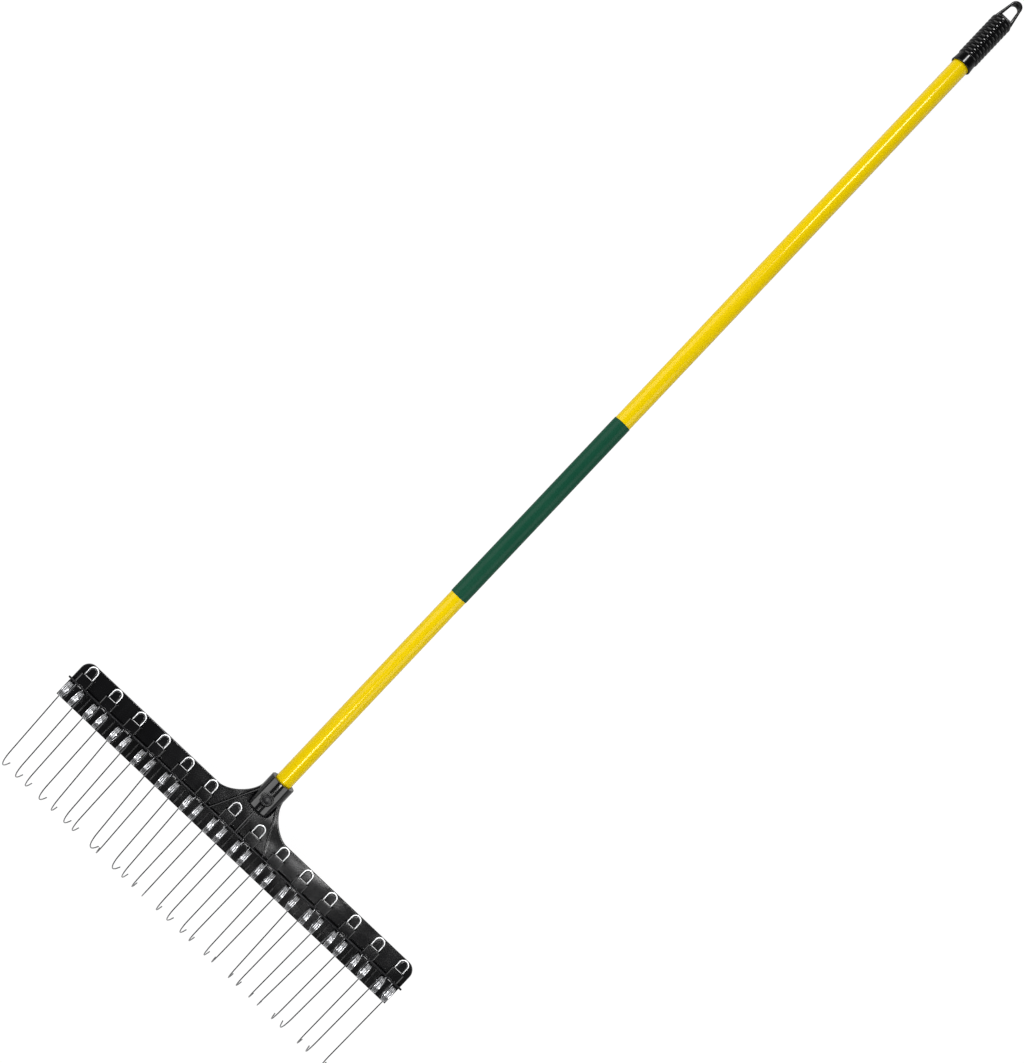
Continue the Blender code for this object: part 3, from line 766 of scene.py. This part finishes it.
rounded = arc((0, ARCH_Y), POST_RADIUS, 0, math.pi, 24, WELD_Z)
walls = [(-POST_RADIUS, POST_BASE, WELD_Z), (POST_RADIUS, POST_BASE, WELD_Z)]
post = draw_outline("post", [Vector(point) for point in walls + rounded], POST_FRONT - WELD_Z)
pick_edges(lambda middle, way: near(middle.z, POST_FRONT))
round_edges(POST_ROUND, 4)
posts = copy_along(post, centres)
count_faces(posts)

# %% [markdown]
# ### Spacers
# Between the two coils of a spring stands a spacer, which keeps them apart and carries the rod in a seat
# behind its top. It is hollow from behind. A thin slot stays open between it and the rod, through which the
# photograph shows a hair's breadth of the white ground.

# %% Model the spacers
SPACER_HALF = 0.00385
SPACER_FOOT = 0.0024
ROD_SLOT = 0.0006
SPACER_TOP = ROD_Y - ROD_RADIUS - ROD_SLOT
SPACER_ROUND = 0.0006
SEAT_Z = BLOCK_FRONT - 2 * ROD_RADIUS - FIT
SEAT_LAP = 0.002

spacer = add_bar("spacer", (-SPACER_HALF, SPACER_FOOT, WELD_Z), (SPACER_HALF, SPACER_TOP, BLOCK_FRONT))
pick_edges(lambda middle, way: middle.z > PLATE_FRONT and (abs(way.z) > ALONG or near(middle.z, BLOCK_FRONT)))
round_edges(SPACER_ROUND)
seat = add_bar("seat", (-SPACER_HALF, SPACER_TOP - SEAT_LAP, WELD_Z), (SPACER_HALF, GROOVE_HIGH, SEAT_Z))
combine(spacer, seat, "UNION")
spacers = copy_along(spacer, centres)
count_faces(spacers)

# %% [markdown]
# ### Ribs
# Low fins stiffen the plate between the springs, two slanted struts run down from the socket's sides, and a
# broader spine stands between them. The spine's left edge is rounded more than its right one, which gives the
# photograph's wide and narrow line.

# %% Model the ribs
FIN_HALF = 0.001
FIN_FOOT = 0.002
FIN_RISE = 0.0022
FIN_FRONT = PLATE_FRONT + FIN_RISE
FIN_ROUND = 0.0008
ROD_LOW = ROD_Y - ROD_RADIUS - FIT
STRUT_WIDTH = 0.0024
STRUT_REACH = 0.042
STRUT_TOP = 0.0835
STRUT_ROUND = 0.0009
SPINE_HALF = 0.0025
SPINE_TOP = 0.0645
WIDE_ROUND = 0.0024
NARROW_ROUND = 0.0010


def long_front_edge(middle, way):
    """Whether an edge lies at the ribs' front and runs up the head, straight or slanted."""
    return near(middle.z, BLOCK_FRONT) and abs(way.y) > 0.5


fin = add_bar("fin", (-FIN_HALF, FIN_FOOT, WELD_Z), (FIN_HALF, ROD_LOW, FIN_FRONT))
pick_edges(lambda middle, way: near(middle.z, FIN_FRONT))
round_edges(FIN_ROUND)
fins = copy_along(fin, [(left + right) / 2 for left, right in zip(centres, centres[1:])])

struts = []
for side in (-1, 1):
    foot_x, head_x = side * STRUT_REACH, side * (SOCKET_RADIUS - STRUT_WIDTH)
    corners = [(foot_x - STRUT_WIDTH / 2, GROOVE_HIGH), (foot_x + STRUT_WIDTH / 2, GROOVE_HIGH)]
    corners += [(head_x + STRUT_WIDTH / 2, STRUT_TOP), (head_x - STRUT_WIDTH / 2, STRUT_TOP)]
    strut = draw_outline("strut", [Vector((x, y, WELD_Z)) for x, y in corners], BLOCK_FRONT - WELD_Z)
    pick_edges(long_front_edge)
    round_edges(STRUT_ROUND, 4)
    struts.append(strut)

spine = add_bar("spine", (-SPINE_HALF, GROOVE_HIGH, WELD_Z), (SPINE_HALF, SPINE_TOP, BLOCK_FRONT))
pick_edges(lambda middle, way: long_front_edge(middle, way) and middle.x < 0)
round_edges(WIDE_ROUND, 6)
pick_edges(lambda middle, way: long_front_edge(middle, way) and near(middle.x, SPINE_HALF))
round_edges(NARROW_ROUND, 4)
ribs = join([fins, spine] + struts, "ribs")
count_faces(ribs)

# %% [markdown]
# ### Socket
# The handle's tube sits in a round socket with a closed, rounded foot. A turned piece is drawn as half of its
# section and spun about its axis. Spinning can leave the faces inside out, so the seam is merged and the
# normals are recalculated.

# %% Helpers for turned pieces
ROUND_SIDES = 96
SCREW_SIDES = 64
SMALL_SIDES = 32
SEAM_MERGE = 0.000005


def spin_profile(name, profile, sides):
    """Draw a profile of (radius, along Y) points and spin it about the Y axis. Leaves edit mode on."""
    steps = zip(profile, profile[1:])
    moves = [(there[0] - here[0], there[1] - here[1], 0) for here, there in steps]
    item = draw_path(name, (*profile[0], 0), moves)
    bpy.ops.mesh.spin(steps=sides, angle=math.tau, center=(0, 0, 0), axis=(0, 1, 0))
    bpy.ops.mesh.select_all(action="SELECT")
    bpy.ops.mesh.remove_doubles(threshold=SEAM_MERGE)
    face_outwards()
    return item


def add_drill(name, radius, low, high, sides):
    """A round bar between two points."""
    fresh_start()
    low, high = Vector(low), Vector(high)
    bpy.ops.mesh.primitive_cylinder_add(
        vertices=sides,
        radius=radius,
        depth=(high - low).length,
        location=(low + high) / 2,
        rotation=(high - low).to_track_quat("Z", "Y").to_euler(),
    )
    drill = bpy.context.object
    drill.name = name
    bpy.ops.object.transform_apply(location=True, rotation=True, scale=True)
    return drill


# %% [markdown]
# The socket's profile starts in the middle of its foot and runs out, up its wall and in over a small lip.

# %% Model the socket
SOCKET_BASE = 0.0615
SOCKET_TOP = 0.1065
SOCKET_ROUND = 0.0045
SOCKET_LIP = 0.0008

foot_arc = arc((SOCKET_RADIUS - SOCKET_ROUND, SOCKET_BASE + SOCKET_ROUND), SOCKET_ROUND, -QUARTER, 0, 10)
lip_arc = arc((SOCKET_RADIUS - SOCKET_LIP, SOCKET_TOP - SOCKET_LIP), SOCKET_LIP, 0, QUARTER, 5)
profile = [(0, SOCKET_BASE)] + [point[:2] for point in foot_arc + lip_arc] + [(0, SOCKET_TOP)]
socket = spin_profile("socket", profile, ROUND_SIDES)
fresh_start()
count_faces(socket)

# %% [markdown]
# ### Weld and cut the head
# The pieces are welded to the plate one after another, and the openings are cut last: the windows behind
# blocks and spacers, the bore, the round recess for the screw and the screw's hole.

# %% Weld the head and open its back
CUT_BACK = -0.003
SPACER_WALL = 0.001
SPACER_SKIN = 0.0024
WINDOW_FRONT = 0.0024

for part in (socket, ribs, blocks, spacers, posts):
    combine(head, part, "UNION")
core_half = SPACER_HALF - SPACER_WALL
low = (-core_half, SPACER_FOOT + SPACER_WALL, CUT_BACK)
high = (core_half, GROOVE_HIGH + SUNK, BLOCK_FRONT - SPACER_SKIN)
core = add_bar("core", low, high)
combine(head, copy_along(core, centres), "DIFFERENCE")
low = (-POST_RADIUS, GROOVE_HIGH + FIT, CUT_BACK)
window = add_bar("window", low, (POST_RADIUS, POST_BASE, WINDOW_FRONT))
combine(head, copy_along(window, centres), "DIFFERENCE")
count_faces(head)

# %% [markdown]
# The tube goes down a blind bore to the socket's floor. The screw goes through the front wall of both.

# %% Bore the socket and sink the screw's recess
TUBE_RADIUS = 0.0111
SOCKET_FLOOR = 0.003
OVERSHOOT = 0.01
SCREW_Y = 0.0818
RECESS_RADIUS = 0.0086
RECESS_DEPTH = 0.0036
RECESS_Z = SOCKET_RADIUS - RECESS_DEPTH
RECESS_CUT_Z = 0.03
SHANK_RADIUS = 0.0021
HOLE_BACK = 0.005
HOLE_FRONT = 0.02


def drill_for_screw(piece):
    """Drill the screw's hole through the front of a piece."""
    low, high = (0, SCREW_Y, HOLE_BACK), (0, SCREW_Y, HOLE_FRONT)
    combine(piece, add_drill("hole", SHANK_RADIUS + FIT, low, high, SMALL_SIDES), "DIFFERENCE")


low, high = (0, SOCKET_BASE + SOCKET_FLOOR, 0), (0, SOCKET_TOP + OVERSHOOT, 0)
combine(head, add_drill("bore", TUBE_RADIUS + FIT, low, high, ROUND_SIDES), "DIFFERENCE")
low, high = (0, SCREW_Y, RECESS_Z), (0, SCREW_Y, RECESS_CUT_Z)
combine(head, add_drill("recess", RECESS_RADIUS, low, high, SCREW_SIDES), "DIFFERENCE")
drill_for_screw(head)
finish_piece(head, "moulded_head", moulded_nylon)
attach(head, "rake")
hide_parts("rake_head")
count_faces(head)

# %% [markdown]
# ## The handle
# The handle is a pultruded tube of glass fibre with a glossy yellow coat. A cylinder gives its outside. Both
# of its ends are inset by the wall, and the two inner loops are bridged, which opens it from end to end.

# %% Model the tube
TUBE_WALL = 0.0026
TUBE_RIM = 0.0004
TUBE_END = TUBE_FOOT + tube_length
BORE_MARGIN = 0.0005

near_bore = TUBE_RADIUS - TUBE_WALL + BORE_MARGIN
tube = add_drill("tube", TUBE_RADIUS, (0, TUBE_FOOT, 0), (0, TUBE_END, 0), ROUND_SIDES)
bpy.ops.object.mode_set(mode="EDIT")
pick_faces(lambda middle, normal: abs(normal.y) > ALONG)
bpy.ops.mesh.inset(thickness=TUBE_WALL)
bpy.ops.mesh.delete(type="ONLY_FACE")
pick_edges(lambda middle, way: abs(way.y) < ACROSS and math.hypot(middle.x, middle.z) < near_bore)
bpy.ops.mesh.bridge_edge_loops()
face_outwards()
pick_edges(lambda middle, way: abs(way.y) < ACROSS and math.hypot(middle.x, middle.z) > near_bore)
round_edges(TUBE_RIM, 2)
drill_for_screw(tube)
finish_piece(tube, "glass_fibre_tube", yellow_coat, weighted=False)
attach(tube, "rake")
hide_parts("handle_tube")
count_faces(tube)

# %% [markdown]
# ## The label
# A printed film is wrapped once round the tube, and its end laps over its start at the back. On this rake the
# film is bare green. Its section is drawn as one turn of a very flat spiral, thin as the film is, and
# extruded along the handle.

# %% Model the label film
LABEL_START = 0.403
LABEL_LENGTH = 0.277
FILM = 0.00022
FILM_GAP = 0.00008
FILM_CLIMB = 0.0003
LAP = math.radians(22)
LABEL_STEPS = 100


def film_edge(offset):
    """Points of one side of the film's section, from its start at the back round to past it."""
    points = []
    for step in range(LABEL_STEPS + 1):
        share = step / LABEL_STEPS
        turn = -QUARTER + (math.tau + LAP) * share
        radius = TUBE_RADIUS + FILM_GAP + FILM_CLIMB * share + offset
        points.append(Vector((radius * math.cos(turn), -radius * math.sin(turn), 0)))
    return points


label = draw_outline("label", film_edge(0) + film_edge(FILM)[::-1], LABEL_LENGTH)
bpy.ops.transform.rotate(value=QUARTER, orient_axis="X", center_override=(0, 0, 0))
bpy.ops.object.mode_set(mode="OBJECT")
low_y = min(point.co.y for point in label.data.vertices)
label.data.transform(Matrix.Translation((0, LABEL_START - low_y, 0)))
finish_piece(label, "label_film", label_film, weighted=False)
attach(label, "rake")
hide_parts("label_sleeve")
count_faces(label)

# %% [markdown]
# ## The end grip
# The grip is pulled over the tube's end. It has a plain collar, eleven round beads with narrow grooves
# between them, and a loop to hang the rake by. A superellipse draws each bead: it is flat on top and falls
# steeply beside the grooves.

# %% Model the grip's sleeve
GRIP_RADIUS = 0.0133
GRIP_INSERTION = 0.063
GRIP_START = TUBE_END - GRIP_INSERTION
GRIP_LENGTH = 0.0705
GRIP_END = GRIP_START + GRIP_LENGTH
GRIP_COLLAR = 0.0115
RINGS = 11
GROOVE_DEPTH = 0.0011
RING_STEPS = 10
BEAD_FLAT = 2.4
BEAD_STEEP = 0.6
COLLAR_LIP = 0.0007
CAP_RADIUS = 0.0118
CAP_FLAT = 0.0038
CAP_RISE = 0.0022
CAP_STEPS = 6

ring_length = (GRIP_LENGTH - GRIP_COLLAR) / RINGS
collar_lip = arc((GRIP_RADIUS - COLLAR_LIP, GRIP_START + COLLAR_LIP), COLLAR_LIP, -QUARTER, 0, 5)
profile = [(TUBE_RADIUS + FIT, GRIP_START)] + [point[:2] for point in collar_lip]
for ring in range(RINGS):
    low = GRIP_START + GRIP_COLLAR + ring_length * ring
    for step in range(RING_STEPS):
        share = step / RING_STEPS
        bead = (1 - abs(2 * share - 1) ** BEAD_FLAT) ** BEAD_STEEP
        profile.append((GRIP_RADIUS - GROOVE_DEPTH * (1 - bead), low + ring_length * share))
profile.append((GRIP_RADIUS - GROOVE_DEPTH, GRIP_END))
for step in range(1, CAP_STEPS + 1):
    turn = QUARTER * step / CAP_STEPS
    reach = CAP_RADIUS - (CAP_RADIUS - CAP_FLAT) * (1 - math.cos(turn))
    profile.append((reach, GRIP_END + CAP_RISE * math.sin(turn)))
profile += [(0, GRIP_END + CAP_RISE), (0, TUBE_END + FIT), (TUBE_RADIUS + FIT, TUBE_END + FIT), profile[0]]
grip = spin_profile("grip", profile, ROUND_SIDES)
fresh_start()
count_faces(grip)

# %% [markdown]
# The loop is a tapering arch with an eye of the same shape. Both are drawn as outlines. The eye is cut before
# the rims are rounded, so that one bevel rounds the outside and the eye alike, as a soft moulding has it.

# %% Model the hanging loop
LOOP_HALF = 0.00375
LOOP_SUNK = 0.004
LOOP_SIZE = (0.0342, 0.0258, 0.0152)
LOOP_ROUND = 0.0014
EYE_START = 0.0065
EYE_SIZE = (0.0180, 0.0136, 0.0102)
EYE_CUT = 0.01


def arch_points(base, size, z):
    """A tapering arch of (length, width at its base, width at its top), with a round top."""
    length, base_width, top_width = size
    radius = top_width / 2
    crown = arc((0, base + length - radius), radius, 0, math.pi, 20, z)
    feet = [(-base_width / 2, base, z), (base_width / 2, base, z)]
    return [Vector(point) for point in feet + crown]


loop = draw_outline("loop", arch_points(GRIP_END - LOOP_SUNK, LOOP_SIZE, -LOOP_HALF), 2 * LOOP_HALF)
eye = draw_outline("eye", arch_points(GRIP_END + EYE_START, EYE_SIZE, -EYE_CUT), 2 * EYE_CUT)
combine(loop, eye, "DIFFERENCE")
bpy.ops.object.mode_set(mode="EDIT")
pick_edges(lambda middle, way: near(abs(middle.z), LOOP_HALF) and middle.y > GRIP_END)
round_edges(LOOP_ROUND, 4)
combine(grip, loop, "UNION")
finish_piece(grip, "vinyl_grip", soft_vinyl, smooth_angle=50)
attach(grip, "rake")
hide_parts("end_grip")
count_faces(grip)

# %% [markdown]
# ## Screw and rod
# One pan-head screw pins the tube in its socket. Its head is spun as a low dome, and a cross recess with
# sloping ends is cut into it. The shank is plain here, because the socket hides it.

# %% Model the screw
SCREW_SEAT = RECESS_Z + FIT
SCREW_RADIUS = 0.00525
SCREW_CHAMFER = 0.0002
SCREW_EDGE = 0.0009
SCREW_DOME = 0.0018
SCREW_TOP = SCREW_SEAT + SCREW_EDGE + SCREW_DOME
DOME_STEPS = 8
DOME_POWER = 0.7
SHANK_LENGTH = 0.0064
SHANK_TIP = 0.0085
SLOT_ANGLES = (math.radians(20), math.radians(110))
SLOT_HALF = 0.0006
SLOT_REACH = 0.0026
SLOT_DEPTH = 0.0014
SLOT_OVER = 0.001
SLOT_FLOOR = (0.6, 0.55, 1)

profile = [(0, SCREW_SEAT - SHANK_TIP), (SHANK_RADIUS, SCREW_SEAT - SHANK_LENGTH)]
profile += [(SHANK_RADIUS, SCREW_SEAT), (SCREW_RADIUS - SCREW_CHAMFER, SCREW_SEAT)]
for step in range(DOME_STEPS):
    turn = QUARTER * step / DOME_STEPS
    rise = SCREW_EDGE + SCREW_DOME * math.sin(turn)
    profile.append((SCREW_RADIUS * math.cos(turn) ** DOME_POWER, SCREW_SEAT + rise))
profile.append((0, SCREW_TOP))
screw = spin_profile("screw", profile, SCREW_SIDES)
bpy.ops.object.mode_set(mode="OBJECT")
screw.data.transform(Matrix.Translation((0, SCREW_Y, 0)) @ Matrix.Rotation(QUARTER, 4, "X"))
for turn in SLOT_ANGLES:
    low = (-SLOT_HALF, -SLOT_REACH, SCREW_TOP - SLOT_DEPTH)
    slot = add_bar("slot", low, (SLOT_HALF, SLOT_REACH, SCREW_TOP + SLOT_OVER))
    pick_faces(lambda middle, normal: normal.z < -ALONG)
    bpy.ops.transform.resize(value=SLOT_FLOOR, center_override=(0, 0, 0))
    bpy.ops.object.mode_set(mode="OBJECT")
    slot.data.transform(Matrix.Translation((0, SCREW_Y, 0)) @ Matrix.Rotation(turn, 4, "Z"))
    combine(screw, slot, "DIFFERENCE")
finish_piece(screw, "cross_screw", black_steel)
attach(screw, "rake")
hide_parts("socket_screw")
count_faces(screw)

# %% [markdown]
# A thin rod runs along the whole head in front of the springs' legs and holds them all down. Its ends are
# rounded off and stand out past the plate.

# %% Model the rod
ROD_Z = BLOCK_FRONT - ROD_RADIUS
ROD_OVERHANG = 0.0025
ROD_HALF = HEAD_HALF + ROD_OVERHANG
ROD_ROUND = 0.00096

rod = add_drill("rod", ROD_RADIUS, (-ROD_HALF, ROD_Y, ROD_Z), (ROD_HALF, ROD_Y, ROD_Z), SMALL_SIDES)
bpy.ops.object.mode_set(mode="EDIT")
pick_edges(lambda middle, way: near(abs(middle.x), ROD_HALF) and abs(way.x) < ACROSS)
round_edges(ROD_ROUND, 5)
finish_piece(rod, "steel_rod", black_steel, smooth_angle=50, weighted=False)
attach(rod, "rake")
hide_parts("retaining_rod")
count_faces(rod)

# %% [markdown]
# ## The springs
# Each spring is one piece of wire: a bail over its post, two legs, two coils of three turns and two tines.
# Only the tines move, and the coils wind up as they do. So the wire is split where the bridge hides it: the
# bail with the upper legs rides on the head, and each coil is made in one piece with its tine.
#
# Wire is modelled as a curve with a round bevel. The curve runs through points that follow the wire's own
# geometry, and is then made a mesh.

# %% Helper for wire
WIRE_SIDES = 16
END_TAPER = 0.6


def draw_wire(name, points):
    """Round wire along points, thinner at its last one, as a mesh."""
    fresh_start()
    bpy.ops.curve.primitive_bezier_curve_add(location=(0, 0, 0))
    item = bpy.context.object
    item.name = name
    curve = item.data
    curve.splines.clear()
    curve.dimensions = "3D"
    curve.bevel_depth = WIRE_RADIUS
    curve.bevel_resolution = WIRE_SIDES // 4 - 1
    curve.use_fill_caps = True
    spline = curve.splines.new("POLY")
    spline.points.add(len(points) - 1)
    for point, place in zip(spline.points, points):
        point.co = (*place, 1)
    spline.points[-1].radius = END_TAPER
    bpy.ops.object.convert(target="MESH")
    return bpy.context.object


# %% [markdown]
# ### Bails
# The bail is a half circle as wide as the legs. It goes over the post with a little play, and both legs end
# under the bridge.

# %% Bend the bails
SEAM_DEPTH = 0.004
SEAM_Y = BLOCK_TOP - SEAM_DEPTH
ARCH_STEPS = 28

arch = [Vector(point) for point in arc((0, ARCH_Y), LEG_X, 0, math.pi, ARCH_STEPS, WIRE_Z)]
bail = draw_wire("bail", [Vector((LEG_X, SEAM_Y, WIRE_Z))] + arch + [Vector((-LEG_X, SEAM_Y, WIRE_Z))])
for number, centre in enumerate(centres, start=1):
    piece = bail.copy()
    piece.data = bail.data.copy()
    bpy.context.scene.collection.objects.link(piece)
    piece.data.transform(Matrix.Translation((centre, 0, 0)))
    finish_piece(piece, f"bail_{number:02d}", bright_wire, weighted=False)
    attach(piece, "rake")
    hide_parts(f"spring_{number:02d}")
bpy.data.objects.remove(bail, do_unlink=True)
print("bails:", len(centres))

# %% [markdown]
# ### Coils and tines
# A leg runs down from the bridge to the back of its coil, which it meets at a tangent. The coil winds
# outwards in three close turns. The tine leaves the coil's back, leans back past the plate's lower edge and
# ends in a hook with a short straight tip.
#
# In use the tines get bent a little, each its own way, so every tine of the row is given a small sideways
# lean and its hook a small twist. Both come from a random generator with a fixed seed, so each run bends them
# alike.

# %% Wind a coil and its tine
COIL_RADIUS = 0.00945
COIL_TURNS = 3
ENTRY_X = 0.0049
TURN_STEPS = 40
TINE_LEAN = math.radians(13)
TINE_STRAIGHT = 0.092
TINE_SHARES = (0.02, 0.25, 0.5, 0.75, 1.0)
BEND_RADIUS = 0.036
TIP_ANGLE = math.radians(98)
TIP_LENGTH = 0.006
TIP_TAPER_START = 0.985
BEND_STEPS = 20

leg_rise = ROD_LOW - COIL_Y
leg_depth = COIL_Z - WIRE_Z
entry = math.atan2(leg_depth, leg_rise) - math.asin(COIL_RADIUS / math.hypot(leg_rise, leg_depth))
leaving = math.tau * COIL_TURNS - TINE_LEAN


def coil_points():
    """The wire from the seam down its leg and round the coil, for the side of +X."""
    leg = [(LEG_X, SEAM_Y), (LEG_X, GROOVE_HIGH), (ENTRY_X, ROD_LOW)]
    points = [Vector((x, y, WIRE_Z)) for x, y in leg]
    steps = TURN_STEPS * COIL_TURNS
    for step in range(steps + 1):
        share = step / steps
        turn = entry + (leaving - entry) * share
        x = ENTRY_X + (TINE_X - ENTRY_X) * share
        y = COIL_Y - COIL_RADIUS * math.sin(turn)
        points.append(Vector((x, y, COIL_Z - COIL_RADIUS * math.cos(turn))))
    return points


def tine_points(start, sideways, twist):
    """The tine from its coil's end to its tip, with a sideways lean and a twist, both angles."""
    leaning = Matrix.Rotation(sideways, 3, "Z")
    way = Vector((0, -math.cos(TINE_LEAN), -math.sin(TINE_LEAN)))
    straight = (start.y + TINE_STRAIGHT) / math.cos(TINE_LEAN)
    offsets = [way * straight * share for share in TINE_SHARES]
    bend = (TIP_ANGLE - TINE_LEAN) / BEND_STEPS
    chord = 2 * BEND_RADIUS * math.sin(bend / 2)
    for step in range(BEND_STEPS):
        heading = TINE_LEAN + bend * (step + 0.5)
        offsets.append(offsets[-1] + chord * Vector((0, -math.cos(heading), -math.sin(heading))))
    tip = TIP_LENGTH * Vector((0, -math.cos(TIP_ANGLE), -math.sin(TIP_ANGLE)))
    offsets += [offsets[-1] + tip * TIP_TAPER_START, offsets[-1] + tip]
    twisting = Matrix.Rotation(twist, 3, way)
    return [start + leaning @ twisting @ offset for offset in offsets]


print("coil turns by", round(math.degrees(leaving - entry)), "degrees")

# %% [markdown]
# The coil turns with its tine at the tine's end and stands still at its leg's end, and in between it winds
# up. The cell works out where a blend between the two bodies would start and end: beside the leg and beside
# the tine, along the coil's axis, tilted a little down so that the tine would lie on its moving side over all
# of its length. It makes no blend from these points, so each coil and its tine stay one fixed piece.

# %% Make the 28 coils with their tines
LEAN_SPREAD = math.radians(0.9)
LEAN_DRIFT = math.radians(0.6)
TWIST_SPREAD = math.radians(4)
TWIST_DRIFT = math.radians(5)
BLEND_MARGIN = 0.00075
BLEND_TILT = 0.05
SEED = 28

bending = random.Random(SEED)
for number, axis in enumerate(tine_axes, start=1):
    side = -1 if number % 2 else 1
    centre = centres[(number - 1) // 2]
    wound = coil_points()
    sideways = bending.gauss(side * LEAN_DRIFT, LEAN_SPREAD)
    twist = bending.gauss(side * TWIST_DRIFT, TWIST_SPREAD)
    points = wound + tine_points(wound[-1], sideways, twist)
    points = [Vector((centre + side * point.x, point.y, point.z)) for point in points]
    wire = draw_wire("wire", points)
    finish_piece(wire, f"wound_tine_{number:02d}", bright_wire, weighted=False)
    start = laying @ Vector((centre + side * (ENTRY_X + BLEND_MARGIN), axis.y, axis.z))
    reach = side * (TINE_X - ENTRY_X - 2 * BLEND_MARGIN)
    end = start + laying.to_3x3() @ Vector((reach, -BLEND_TILT * abs(reach), 0))
    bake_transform(wire)
    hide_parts(f"tine_{number:02d}")
print("tines:", len(tine_axes))

# %% [markdown]
# ## Check and finish
# The last cell lists the first pieces with their sizes, and compares the box of what shows with the box of
# the frame.

# %% Check sizes and finish
LISTED = 8

for piece in made[:LISTED]:
    print(piece.name, [round(side * 1000, 1) for side in piece.dimensions])
shown_low, shown_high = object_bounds()
print("pieces:", len(made), "faces:", sum(len(piece.data.polygons) for piece in made))
growth = (shown_high - shown_low) - (cad_high - cad_low)
print("grown by in mm:", [round(side * 1000, 2) for side in growth])
